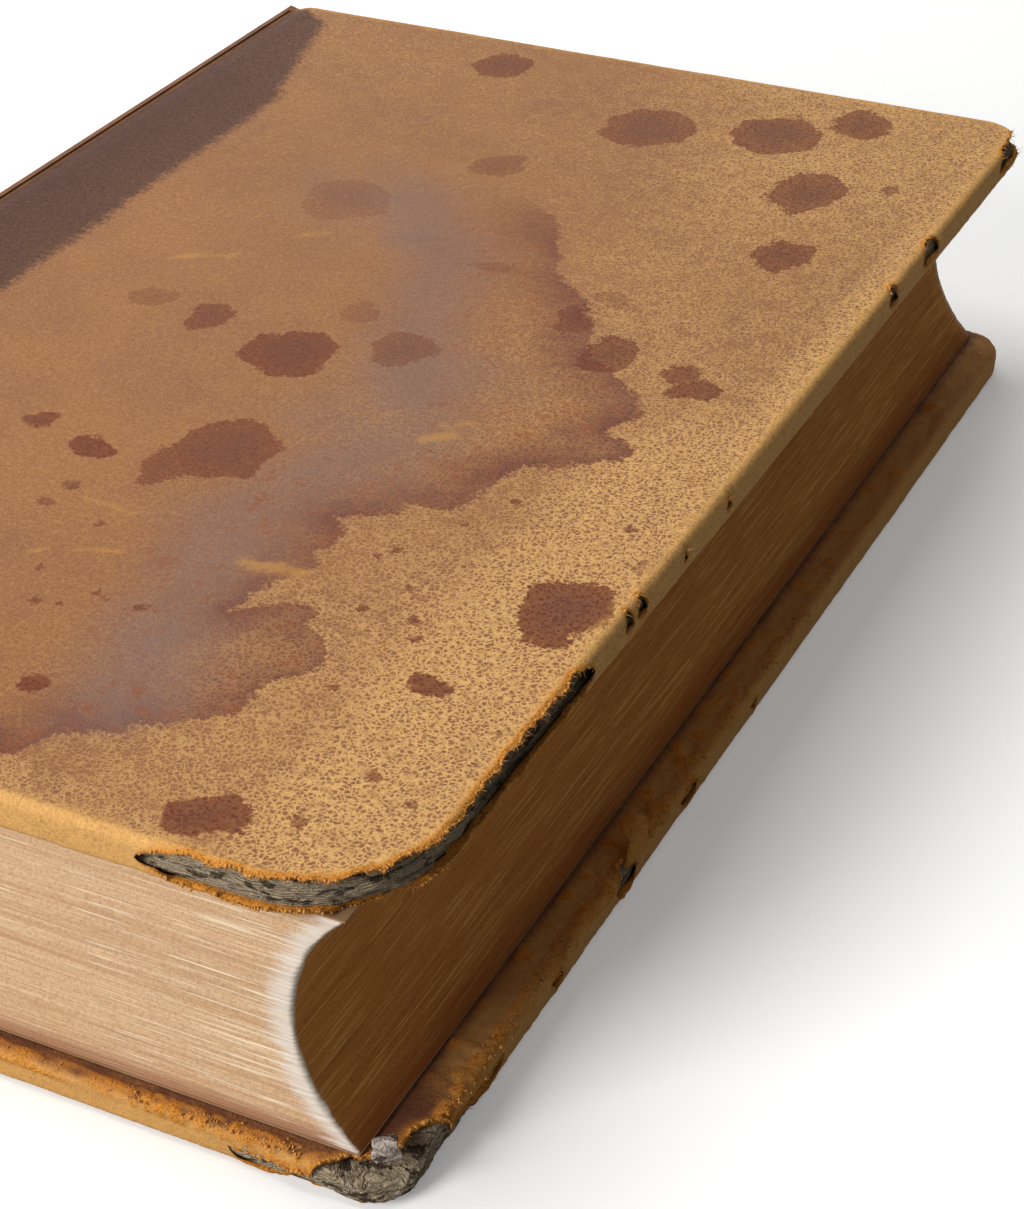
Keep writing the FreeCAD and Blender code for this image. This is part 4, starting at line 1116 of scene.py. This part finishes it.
def calfskin(name, stained, ground="#a06c44", gold="#deae6c", pore="#8e5f45"):
    """Vegetable-tanned calf, glazed when new and rubbed since: satin where whole, dull suede where torn.

    stained also reads the stains of the front cover. The golden net runs along the borders of random cells,
    and its lines grow wider where the leather is rubbed. The pits in the middles of the cells stay dark.
    """
    material, tree, surface = new_material(name)
    place = add(tree, "TexCoord", out="Object")
    names = ["ochre", "torn", "inner", "edge"]
    names += ["spot", "strength", "tide", "pool", "grey", "band", "scrape"] * stained
    field = {key: add(tree, "Attribute", out="Fac", attribute_name=key) for key in names}
    broad, ragged, grain, fine = (
        add(tree, "TexNoise", {"Vector": place, "Scale": 1 / (size * MM), "Detail": detail,
                               "Roughness": share})
        for size, detail, share in ((22, 4.0, 0.6), (3.2, 6.0, 0.65), (0.8, 3.0, 0.65), (0.3, 3.0, 0.7))
    )
    push = add(tree, "TexNoise", {"Vector": place, "Scale": 1 / (1.3 * MM)}, out=1)
    push = add(tree, "VectorMath", {0: push, 1: (0.9 * MM, 0.9 * MM, 0.9 * MM)}, operation="MULTIPLY")
    bent = add(tree, "VectorMath", {0: place, 1: push}, operation="ADD")
    cell = add(tree, "TexVoronoi", {"Vector": bent, "Scale": 1 / PORE}, feature="DISTANCE_TO_EDGE")

    wobble = add(tree, "Math", {0: ragged, 1: 0.5}, operation="SUBTRACT")
    jitter = add(tree, "Math", {0: grain, 1: 0.5}, operation="SUBTRACT")
    shift = add(tree, "Math", {0: jitter, 1: 0.5, 2: wobble}, operation="MULTIPLY_ADD")

    share = add(tree, "Math", {0: wobble, 1: 0.9, 2: field["ochre"]}, operation="MULTIPLY_ADD")
    rubbed = add(tree, "MapRange", {0: share, 1: 0.0, 2: 1.0}, interpolation_type="SMOOTHSTEP")
    frizz = add(tree, "Math", {0: fine, 1: 0.5}, operation="SUBTRACT")
    mottle = add(tree, "Math", {0: jitter, 1: 0.7, 2: cell}, operation="MULTIPLY_ADD")
    mottle = add(tree, "Math", {0: frizz, 1: 1.0, 2: mottle}, operation="MULTIPLY_ADD")
    level = add(tree, "MapRange", {0: rubbed, 1: 0.0, 2: 1.0, 3: 0.04, 4: 0.16})
    level = add(tree, "Math", {0: wobble, 1: 0.25, 2: level}, operation="MULTIPLY_ADD")
    low = add(tree, "Math", {0: level, 1: 0.10}, operation="SUBTRACT")
    high = add(tree, "Math", {0: level, 1: 0.14}, operation="ADD")
    pit = add(tree, "MapRange", {0: mottle, 1: low, 2: high}, interpolation_type="SMOOTHSTEP")
    net = add(tree, "Math", {0: 1.0, 1: pit}, operation="SUBTRACT")
    depth = add(tree, "MapRange", {0: rubbed, 1: 0.0, 2: 1.0, 3: 0.3, 4: 0.55})
    pores = add(tree, "Math", {0: pit, 1: depth}, operation="MULTIPLY")
    dots = add(tree, "MapRange", {0: mottle, 1: 0.34, 2: 0.55, 3: 0.0, 4: 0.45})
    warm = add(tree, "MapRange", {0: broad, 1: 0.42, 2: 0.62, 3: 0.0, 4: 0.6})
    bright = add(tree, "MapRange", {0: rubbed, 1: 0.0, 2: 1.0, 3: 0.25, 4: 0.95})
    ridge = add(tree, "Math", {0: net, 1: bright}, operation="MULTIPLY")
    dull = add(tree, "MapRange", {0: ragged, 1: 0.5, 2: 0.68, 3: 0.0, 4: 0.5})
    layers = [("#8c5c40", warm), (gold, ridge), (pore, pores), ("#684030", dots), ("#9a6a42", dull)]

    if stained:
        speckle = add(tree, "MapRange", {0: mottle, 1: 0.0, 2: 0.3, 3: 0.8, 4: 1.0})
        tide = add(tree, "Math", {0: shift, 1: 4.5, 2: field["tide"]}, operation="MULTIPLY_ADD")
        pool = add(tree, "MapRange", {0: tide, 1: -0.3, 2: 0.6}, interpolation_type="SMOOTHSTEP")
        pool = add(tree, "Math", {0: pool, 1: field["pool"]}, operation="MULTIPLY")
        rim = add(tree, "MapRange", {0: tide, 1: 1.0, 2: 11.0, 3: 1.0, 4: 0.18})
        rim = add(tree, "Math", {0: rim, 1: pool}, operation="MULTIPLY")
        grey = add(tree, "Math", {0: wobble, 1: 0.6, 2: field["grey"]}, operation="MULTIPLY_ADD")
        grey = add(tree, "MapRange", {0: grey, 1: 0.15, 2: 1.0, 3: 0.0, 4: 0.8})
        flooded = add(tree, "MapRange", {0: tide, 1: -2.0, 2: 3.0})
        grey = add(tree, "Math", {0: grey, 1: flooded}, operation="MULTIPLY")
        rust = add(tree, "MapRange", {0: ragged, 1: 0.53, 2: 0.66, 3: 0.0, 4: 0.7})
        rust = add(tree, "Math", {0: rust, 1: pool}, operation="MULTIPLY")
        drop = add(tree, "Math", {0: shift, 1: 2.6, 2: field["spot"]}, operation="MULTIPLY_ADD")
        spot = add(tree, "MapRange", {0: drop, 1: -0.2, 2: 0.45}, interpolation_type="SMOOTHSTEP")
        spot = add(tree, "Math", {0: spot, 1: field["strength"]}, operation="MULTIPLY")
        heart = add(tree, "MapRange", {0: drop, 1: 1.5, 2: 4.5, 3: 0.0, 4: 0.5})
        heart = add(tree, "Math", {0: heart, 1: spot}, operation="MULTIPLY")
        band = add(tree, "Math", {0: shift, 1: 5.0, 2: field["band"]}, operation="MULTIPLY_ADD")
        dark = add(tree, "MapRange", {0: band, 1: 1.0, 2: 20.0, 3: 0.1, 4: 0.6})
        band = add(tree, "MapRange", {0: band, 1: -1.6, 2: 1.8, 3: 0.0, 4: 0.95},
                   interpolation_type="SMOOTHSTEP")
        dark = add(tree, "Math", {0: dark, 1: band}, operation="MULTIPLY")
        for code, mask in (("#643630", rim), ("#7c6660", grey), ("#8a4a28", rust), ("#642a1a", spot),
                           ("#553831", heart), ("#452922", band), ("#38201b", dark)):
            layers.append((code, add(tree, "Math", {0: mask, 1: speckle}, operation="MULTIPLY")))
        scrape = add(tree, "Math", {0: shift, 1: 5.0, 2: field["scrape"]}, operation="MULTIPLY_ADD")
        layers.append(("#d09a4e", add(tree, "MapRange", {0: scrape, 1: -0.1, 2: 0.8, 3: 0.0, 4: 0.45})))
        stained_share = add(tree, "Math", {0: pool, 1: spot}, operation="MAXIMUM")
        flecks = add(tree, "MapRange", {0: frizz, 1: 0.03, 2: 0.15, 3: 0.0, 4: 0.5})
        flecks = add(tree, "Math", {0: flecks, 1: stained_share}, operation="MULTIPLY")
        layers.append(("#ad6634", flecks))
    soot = add(tree, "MapRange", {0: frizz, 1: -0.17, 2: -0.05, 3: 0.4, 4: 0.0})
    layers.append(("#55341f", soot))

    lining = add(tree, "MapRange", {0: ragged, 1: 0.4, 2: 0.62, 3: 0.95, 4: 0.6})
    lining = add(tree, "Math", {0: lining, 1: field["inner"]}, operation="MULTIPLY")
    near = add(tree, "Math", {0: wobble, 1: 6.0, 2: field["edge"]}, operation="MULTIPLY_ADD")
    rub = add(tree, "MapRange", {0: near, 1: -0.5, 2: 3.0, 3: 0.7, 4: 0.0}, interpolation_type="SMOOTHSTEP")
    outer = add(tree, "Math", {0: 1.0, 1: field["inner"]}, operation="SUBTRACT")
    rub = add(tree, "Math", {0: rub, 1: outer}, operation="MULTIPLY")
    suede = add(tree, "MapRange", {0: field["torn"], 1: 0.1, 2: 0.6, 3: 0.0, 4: 0.9})
    hollow = add(tree, "MapRange", {0: fine, 1: 0.38, 2: 0.52, 3: 0.8, 4: 0.0})
    scuffed = add(tree, "Math", {0: rub, 1: 0.5}, operation="MULTIPLY")
    scuffed = add(tree, "Math", {0: scuffed, 1: suede}, operation="MAXIMUM")
    hollow = add(tree, "Math", {0: hollow, 1: scuffed}, operation="MULTIPLY")
    layers += [("#e8b268", rub), ("#6e4433", lining), ("#d08630", suede), ("#5b3411", hollow)]

    skin = add(tree, "Mix", {0: broad, 6: colour(ground), 7: colour("#9c6c3f")}, out=2, data_type="RGBA")
    for code, mask in layers:
        skin = add(tree, "Mix", {0: mask, 6: skin, 7: colour(code)}, out=2, data_type="RGBA")

    relief = add(tree, "Math", {0: net, 1: 0.55, 2: grain}, operation="MULTIPLY_ADD")
    relief = add(tree, "Math", {0: fine, 1: 0.5, 2: relief}, operation="MULTIPLY_ADD")
    bump = add(tree, "Bump", {"Strength": 0.6, "Distance": 0.14 * MM, "Height": relief}, out="Normal")
    gloss = add(tree, "MapRange", {0: scuffed, 1: 0.0, 2: 0.9, 3: 0.6, 4: 0.95})
    gloss = add(tree, "Math", {0: jitter, 1: 0.2, 2: gloss}, operation="MULTIPLY_ADD")
    shader = {"Base Color": skin, "Roughness": gloss, "Normal": bump, "IOR": 1.5, "Specular IOR Level": 0.1}
    tree.links.new(add(tree, "BsdfPrincipled", shader), surface)
    return material


# The front cover's calf is rubbed to golden suede. The back cover's is darker and more orange: partly a
# browner dye, partly painted shade with warm bounce light, as what shows of it lies in shade. The spine's has
# been handled most, so it is darkest and smoothest.
calf = calfskin("vegetable_tanned_calf", True)
shade_toned_calf = calfskin("vegetable_tanned_calf_back_shade_toned", False, ground="#96582c", gold="#cf9140", pore="#75432a")
spine_calf = calfskin("handled_spine_calf", False, ground="#55352a", gold="#8f5f36", pore="#3a2620")
print("materials:", calf.name, shade_toned_calf.name, spine_calf.name)

# %% [markdown]
# The leathers go on first, since everything else is under them or hangs from them. Each rides on the body
# that its solid belongs to, and takes the place of that solid. The joint leathers lie between two bodies:
# they are fixed where they are made and ride on neither.

# %% Put the leather on both covers
front_leather = make_piece("front_leather", front_shape, calf, front_fields)
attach(front_leather, "front_cover")
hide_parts("front_cover_leather")

back_fields["ochre"] = 0.55 + 0.35 * rough(back_shape.points, 9, 330)
back_leather = make_piece("back_leather", back_shape, shade_toned_calf, back_fields)
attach(back_leather, "back_cover")
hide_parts("back_cover_leather")

# Fibres and the tongue take the back cover's calf, whose darker, more orange colour is partly painted shade.
front_fluff = make_piece("front_torn_fibres", front_torn, shade_toned_calf, front_torn_fields)
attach(front_fluff, "front_cover")
back_fluff = make_piece("back_torn_fibres", back_torn, shade_toned_calf, back_torn_fields)
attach(back_fluff, "back_cover")
tongue_shape, tongue_fields = as_one([leather_tongue], is_front=False)
leather_flap = make_piece("leather_tongue", tongue_shape, shade_toned_calf, tongue_fields)
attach(leather_flap, "back_cover")

spine_leather = make_piece("spine_skin", spine_shape, spine_calf, spine_fields)
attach(spine_leather, "text_block")
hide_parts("spine_leather")


joint_fields = {"edge": np.full(len(joint_shapes["front_joint_leather"].points), 50.0)}
front_joint = make_piece("front_joint_leather", joint_shapes["front_joint_leather"], spine_calf, joint_fields)
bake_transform(front_joint)
back_joint = make_piece("back_joint_leather", joint_shapes["back_joint_leather"], spine_calf, joint_fields)
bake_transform(back_joint)

# %% [markdown]
# ## Pulp, paper and thread
#
# Pulp board is grey-brown with darker and lighter layers, quite dull. The pages are white paper browned at
# the cut, with single leaves that stayed pale: a noise stretched along the leaf and thin across it. Shade is
# painted in too: in the board's cracks and sunken tear, on the leaves next to the covers, and, with warm
# bounce light, on the fore edge.

# %% Make the board and the papers
def pulp(name, ground, pale):
    """Pressed rope and paper pulp: dull, layered, soft pale fibres on grey-brown; painted shade in cracks and
    sunken tears.
    """
    material, tree, surface = new_material(name)
    place = add(tree, "TexCoord", out="Object")
    layer = add(tree, "Attribute", out="Fac", attribute_name="layer")
    cloud = add(tree, "TexNoise", {"Vector": place, "Scale": 1 / (2.2 * MM), "Detail": 5.0, "Roughness": 0.7})
    fuzz = add(tree, "TexNoise", {"Vector": place, "Scale": 1 / (0.3 * MM), "Detail": 4.0, "Roughness": 0.75})
    level = add(tree, "Math", {0: cloud, 1: 3.0, 2: layer}, operation="MULTIPLY_ADD")
    wave = add(tree, "Math", {0: level, 1: 2 * math.pi}, operation="MULTIPLY")
    wave = add(tree, "Math", {0: wave}, operation="SINE")
    stripe = add(tree, "MapRange", {0: wave, 1: -1.0, 2: -0.2, 3: 0.6, 4: 0.0})
    drawn = add(tree, "Mapping", {"Vector": place, "Scale": (0.35, 0.35, 1.0)})
    chunk = add(tree, "TexNoise", {"Vector": drawn, "Scale": 1 / (0.9 * MM), "Detail": 3.0, "Roughness": 0.6})
    # Painted shade: the cracks between layers are darkened towards black, as well as sunk by the bump.
    crack_shade = add(tree, "MapRange", {0: chunk, 1: 0.55, 2: 0.62, 3: 0.0, 4: 0.85})
    fluff = add(tree, "MapRange", {0: fuzz, 1: 0.5, 2: 0.66, 3: 0.0, 4: 0.6})
    brown = add(tree, "MapRange", {0: cloud, 1: 0.5, 2: 0.7, 3: 0.0, 4: 0.6})
    # Painted shade: the sunken tear along the fore edge is darkened towards black.
    tear_shade = add(tree, "Attribute", out="Fac", attribute_name="tear_shade")
    tear_shade_mask = add(tree, "MapRange", {0: chunk, 1: 0.35, 2: 0.5, 3: 0.25, 4: 0.9})
    tear_shade_mask = add(tree, "Math", {0: tear_shade_mask, 1: tear_shade}, operation="MULTIPLY")
    ground = colour(ground)
    for code, mask in (("#7d5f3e", brown), ("#49382a", stripe), (pale, fluff), ("#2b1d12", crack_shade),
                       ("#2e2014", tear_shade_mask)):
        ground = add(tree, "Mix", {0: mask, 6: ground, 7: colour(code)}, out=2, data_type="RGBA")
    height = add(tree, "Math", {0: fuzz, 1: 0.8, 2: wave}, operation="MULTIPLY_ADD")
    height = add(tree, "Math", {0: crack_shade, 1: -1.5, 2: height}, operation="MULTIPLY_ADD")
    bump = add(tree, "Bump", {"Strength": 0.8, "Distance": 0.2 * MM, "Height": height}, out="Normal")
    shader = {"Base Color": ground, "Roughness": 0.95, "Normal": bump, "IOR": 1.45,
              "Specular IOR Level": 0.15}
    tree.links.new(add(tree, "BsdfPrincipled", shader), surface)
    return material


def page_edges(name):
    """Cut edges of rag paper, browned by air and light: level lines, some leaves pale, the corner palest.

    Painted shade darkens the leaves next to the covers. The fore edge is partly browner paper, with painted
    shade and warm bounce light multiplied in.
    """
    material, tree, surface = new_material(name)
    place = add(tree, "TexCoord", out="Object")
    along = add(tree, "Mapping", {"Vector": place, "Scale": (1 / 70, 1 / 70, 1.0)})
    drawn = add(tree, "Mapping", {"Vector": place, "Scale": (1 / 12, 1 / 12, 1.0)})
    corner = add(tree, "Attribute", out="Fac", attribute_name="from_corner")
    covered = add(tree, "Attribute", out="Fac", attribute_name="shade_by_cover")
    thin = add(tree, "TexNoise", {"Vector": along, "Scale": 1 / (0.24 * MM), "Detail": 2.0, "Roughness": 0.6})
    wide = add(tree, "TexNoise", {"Vector": along, "Scale": 1 / (1.8 * MM), "Detail": 2.0})
    short = add(tree, "TexNoise", {"Vector": drawn, "Scale": 1 / (0.5 * MM), "Detail": 3.0, "Roughness": 0.6})
    grit = add(tree, "TexNoise", {"Vector": place, "Scale": 1 / (0.4 * MM), "Detail": 3.0, "Roughness": 0.75})
    near = add(tree, "MapRange", {0: corner, 1: 4.0, 2: 40.0, 3: 0.08, 4: 0.0})
    bright = add(tree, "Math", {0: thin, 1: near}, operation="ADD")
    streak = add(tree, "MapRange", {0: bright, 1: 0.63, 2: 0.69, 3: 0.0, 4: 0.85})
    gap = add(tree, "MapRange", {0: thin, 1: 0.30, 2: 0.42, 3: 0.5, 4: 0.0})
    tone = add(tree, "MapRange", {0: wide, 1: 0.4, 2: 0.62, 3: 0.0, 4: 0.55})
    specks = add(tree, "MapRange", {0: grit, 1: 0.46, 2: 0.62, 3: 0.0, 4: 0.5})
    # Painted shade on the leaves next to the covers, where the boards overhang them.
    cover_shade = add(tree, "Math", {0: covered, 1: 0.75}, operation="MULTIPLY")
    reach = add(tree, "Math", {0: short, 1: -7.0, 2: corner}, operation="MULTIPLY_ADD")
    worn = add(tree, "MapRange", {0: reach, 1: -2.2, 2: 1.2, 3: 1.0, 4: 0.0}, interpolation_type="SMOOTHSTEP")
    tail = add(tree, "MapRange", {0: corner, 1: -0.5, 2: 0.1, 3: 0.0, 4: 0.75})
    worn = add(tree, "Math", {0: worn, 1: tail}, operation="MULTIPLY")
    ground = colour("#d9b58e")
    layers = (("#c39a72", tone), ("#9a6f4d", gap), ("#a67a5a", specks), ("#f0dfc2", streak),
              ("#94634a", cover_shade), ("#e6ddd2", worn))
    for code, mask in layers:
        ground = add(tree, "Mix", {0: mask, 6: ground, 7: colour(code)}, out=2, data_type="RGBA")
    # Painted shade with warm bounce light: the fore edge is multiplied by a warm brown, partly for browner
    # paper.
    fore = add(tree, "MapRange", {0: corner, 1: -1.0, 2: 0.0, 3: 1.0, 4: 0.0})
    ground = add(tree, "Mix", {0: fore, 6: ground, 7: colour("#f2c580")}, out=2, data_type="RGBA",
                 blend_type="MULTIPLY")
    height = add(tree, "Math", {0: grit, 1: 0.4, 2: thin}, operation="MULTIPLY_ADD")
    bump = add(tree, "Bump", {"Strength": 0.5, "Distance": 0.1 * MM, "Height": height}, out="Normal")
    shader = {"Base Color": ground, "Roughness": 0.85, "Normal": bump, "IOR": 1.45,
              "Specular IOR Level": 0.15}
    tree.links.new(add(tree, "BsdfPrincipled", shader), surface)
    return material


def plain_fibre(name, ground, dark, size, rim=None):
    """A dull fibrous stuff, such as paper, cord or thread: one colour with darker clouds of this size in mm.

    rim is the colour to which a sheet as large as a page is browned, from its outer edges inwards.
    """
    material, tree, surface = new_material(name)
    place = add(tree, "TexCoord", out="Object")
    cloud = add(tree, "TexNoise", {"Vector": place, "Scale": 1 / (size * MM), "Detail": 5.0,
                                   "Roughness": 0.65})
    mask = add(tree, "MapRange", {0: cloud, 1: 0.42, 2: 0.72, 3: 0.0, 4: 0.5})
    tint = add(tree, "Mix", {0: mask, 6: colour(ground), 7: colour(dark)}, out=2, data_type="RGBA")
    if rim:
        middle = (np.array([0.0, LENGTH / 2, MIDDLE]) + ORIGIN) * MM
        level = add(tree, "VectorMath", {0: place, 1: tuple(middle)}, operation="SUBTRACT")
        level = add(tree, "VectorMath", {0: level}, operation="ABSOLUTE")
        parts = {key: add(tree, "SeparateXYZ", {0: level}, out=key) for key in (0, 1)}
        margins = [add(tree, "Math", {0: (PAGES_FORE if key == 0 else LENGTH / 2) * MM, 1: part},
                       operation="SUBTRACT") for key, part in parts.items()]
        margin = add(tree, "Math", {0: margins[0], 1: margins[1]}, operation="MINIMUM")
        margin = add(tree, "Math", {0: cloud, 1: -6 * MM, 2: margin}, operation="MULTIPLY_ADD")
        browned = add(tree, "MapRange", {0: margin, 1: 0.0, 2: 8 * MM, 3: 0.85, 4: 0.0})
        tint = add(tree, "Mix", {0: browned, 6: tint, 7: colour(rim)}, out=2, data_type="RGBA")
    bump = add(tree, "Bump", {"Strength": 0.3, "Distance": 0.05 * MM, "Height": cloud}, out="Normal")
    shader = {"Base Color": tint, "Roughness": 0.9, "Normal": bump, "IOR": 1.45, "Specular IOR Level": 0.15}
    tree.links.new(add(tree, "BsdfPrincipled", shader), surface)
    return material


def wound_thread(name):
    """Linen thread wound tight: faded turns, with the colour changing every four turns."""
    material, tree, surface = new_material(name)
    turn = add(tree, "Attribute", out="Fac", attribute_name="turn")
    block = add(tree, "Math", {0: turn, 1: math.pi / 4}, operation="MULTIPLY")
    block = add(tree, "Math", {0: block}, operation="SINE")
    mask = add(tree, "MapRange", {0: block, 1: -0.1, 2: 0.1})
    tint = add(tree, "Mix", {0: mask, 6: colour("#cdb88a"), 7: colour("#7d4a33")}, out=2, data_type="RGBA")
    shader = {"Base Color": tint, "Roughness": 0.6, "IOR": 1.45}
    tree.links.new(add(tree, "BsdfPrincipled", shader), surface)
    return material


# Rope pulp pressed in layers gives a grey, fibrous board. The flake has bleached in the light. Rag paper was
# made by hand and sized with glue, so it is matte and browns from its edges. Endpapers are the same paper,
# toned by the leather's oils. Lining paper is soaked in brown glue, and hemp is left as it was twisted.
board_pulp = pulp("rope_pulp_board", "#b3a083", "#ddd2be")
flake_pulp = pulp("bleached_pulp_flake", "#cbbcae", "#e6ddd3")
rag_edges = page_edges("rag_paper_cut_edges")
endpaper = plain_fibre("toned_endpaper", "#d8c39c", "#a8824f", 9.0, rim="#8a6240")
lining_paper = plain_fibre("glued_lining_paper", "#a58a66", "#6f5436", 5.0)
hemp = plain_fibre("twisted_hemp_fibre", "#a88a5c", "#6d5230", 0.8)
print("materials:", board_pulp.name, rag_edges.name, endpaper.name, lining_paper.name, hemp.name)

# %% [markdown]
# Boards and pages are what the leather was cut to fit. They could stay plain solids under it, but the torn
# corners and the open walls of the pages show them, so frayed and layered shapes take their places.

# %% Put the boards and the pages in
front_board = make_piece("front_pulp", front_pulp, board_pulp, front_pulp_fields)
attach(front_board, "front_cover")
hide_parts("front_board")

back_board = make_piece("back_pulp", back_pulp, board_pulp, back_pulp_fields)
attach(back_board, "back_cover")
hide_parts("back_board")

flake_shape, flake_fields = as_one([pulp_flake], is_front=False)
flake_fields["layer"] = flake_shape.points[:, 2] * 1.2
curled_flake = make_piece("curled_pulp_flake", flake_shape, flake_pulp, flake_fields)
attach(curled_flake, "back_cover")

pages = make_piece("pages", pages_shape, rag_edges, pages_fields)
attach(pages, "text_block")
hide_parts("text_block")

# %% [markdown]
# An endpaper is one folded sheet: half is pasted to the cover, half is free, and the fold lies in the joint.
# The fold is fixed where it is made and rides on neither the pages nor the cover. The headbands are sewn
# through the pages and ride with them.

# %% Put the joints of paper and the headbands in
for name, cover, place in (("front_joint_paper", "front_cover", 1), ("back_joint_paper", "back_cover", -1)):
    joint = make_piece(name, joint_shapes[name], endpaper)
    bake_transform(joint)

thread = wound_thread("wound_linen_thread")
for part, (shape, turn_field) in headbands.items():
    band = make_piece("wound_" + part, shape, thread, {"turn": turn_field})
    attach(band, "text_block")
    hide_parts(part)

# %% [markdown]
# Flyleaves, pastedowns, cords and linings are plain sheets and cords on the real book too, so their solids
# stay and only get a finish. A new drawing of them would look the same and take memory.

# %% Finish the solids that stay as they are
for part, material in (
    ("back_flyleaf", endpaper), ("front_flyleaf", endpaper),
    ("back_pastedown", endpaper), ("front_pastedown", endpaper),
    *((f"sewing_cord_{k}", hemp) for k in range(1, 6)),
    *((f"spine_lining_{k}", lining_paper) for k in range(1, 7)),
):
    frame["nodes"][part].data.materials.clear()
    frame["nodes"][part].data.materials.append(material)
print("frame nodes with a finish:", len(frame["nodes"]))

# %% [markdown]
# ## Table, light and camera
#
# A pale table and three soft lamps, as in a product studio: the main one low on the left, so that the tail
# of the book is bright and the fore edge falls into shade, a wide one above, and a weak one far behind,
# whose sheen runs over the upper left of the cover.

# %% Set the table, the lamps and the camera
def lamp(name, place, aim, size, power):
    """A square soft lamp at a place, turned towards a point, both in mm in the book's frame."""
    light = bpy.data.lights.new(name, "AREA")
    light.size = size * MM
    light.energy = power
    stand_in = bpy.data.objects.new(name, light)
    bpy.context.collection.objects.link(stand_in)
    place, aim = (Vector((np.array(point) + ORIGIN) * MM) for point in (place, aim))
    turn = (aim - place).to_track_quat("-Z", "Y").to_matrix().to_4x4()
    stand_in.matrix_world = Matrix.Translation(place) @ turn


def seen_directly(tree):
    """1 for what the camera, a mirror or glass sees, and 0 for light on its way to the object."""
    seen = add(tree, "LightPath", out="Is Camera Ray")
    for ray in ("Is Glossy Ray", "Is Transmission Ray"):
        seen = add(tree, "Math", {0: seen, 1: add(tree, "LightPath", out=ray)}, operation="MAXIMUM")
    return seen


def pale_surface(name, code):
    """A plain surface of this colour that keeps shadows, and that throws back less light than it shows."""
    material, tree, surface = new_material(name)
    seen = seen_directly(tree)
    tint = add(tree, "Mix", {0: seen, 6: colour("#76746f"), 7: colour(code)}, out=2, data_type="RGBA")
    far = add(tree, "VectorMath", {0: add(tree, "TexCoord", out="Object")}, out=1, operation="LENGTH")
    glow = add(tree, "MapRange", {0: far, 1: 0.35, 2: 1.1, 3: 0.2, 4: 1.0}, interpolation_type="SMOOTHSTEP")
    glow = add(tree, "Math", {0: seen, 1: glow}, operation="MULTIPLY")
    shader = {"Base Color": tint, "Roughness": 0.8, "Emission Color": (1, 1, 1, 1), "Emission Strength": glow}
    tree.links.new(add(tree, "BsdfPrincipled", shader), surface)
    return material


table_mesh = bpy.data.meshes.new("table_top")
reach = 4.0
level = -0.1 * MM
corners = [(-reach, -reach, level), (reach, -reach, level), (reach, reach, level), (-reach, reach, level)]
table_mesh.from_pydata(corners, [], [(0, 1, 2, 3)])
table_mesh.materials.append(pale_surface("pale_table", "#fafaf8"))
table_top = bpy.data.objects.new("table_top", table_mesh)
bpy.context.collection.objects.link(table_top)

lamp("lamp_left", (-300, -700, 420), (70, 100, 20), 450, 9.0)
lamp("lamp_above", (-250, 100, 850), (70, 110, 20), 600, 4.4)
lamp("lamp_behind", (-420, 900, 560), (70, 110, 20), 600, 1.8)

world = bpy.data.worlds.new("white_room")
world.use_nodes = True
world_tree = world.node_tree
world_tree.nodes.clear()
strength = add(world_tree, "MapRange", {0: seen_directly(world_tree), 1: 0.0, 2: 1.0, 3: 0.17, 4: 1.0})
background = add(world_tree, "Background", {"Color": (1, 1, 1, 1), "Strength": strength})
world_out = world_tree.nodes.new("ShaderNodeOutputWorld")
world_tree.links.new(background, world_out.inputs["Surface"])
bpy.context.scene.world = world

EYE = (262.54, -190.59, 231.78)
LOOK = Vector((-0.37703, 0.74761, -0.54674))
ROLL = -0.98
LENS = 78.14
camera_data = bpy.data.cameras.new("camera")
camera_data.lens = LENS
camera = bpy.data.objects.new("camera", camera_data)
bpy.context.collection.objects.link(camera)
turn = LOOK.to_track_quat("-Z", "Y").to_matrix().to_4x4() @ Matrix.Rotation(math.radians(ROLL), 4, "Z")
camera.matrix_world = Matrix.Translation(Vector((np.array(EYE) + ORIGIN) * MM)) @ turn
bpy.context.scene.camera = camera
bpy.context.scene.view_settings.view_transform = "Standard"
print("camera right:", [round(part, 4) for part in camera.matrix_world.col[0][:3]])
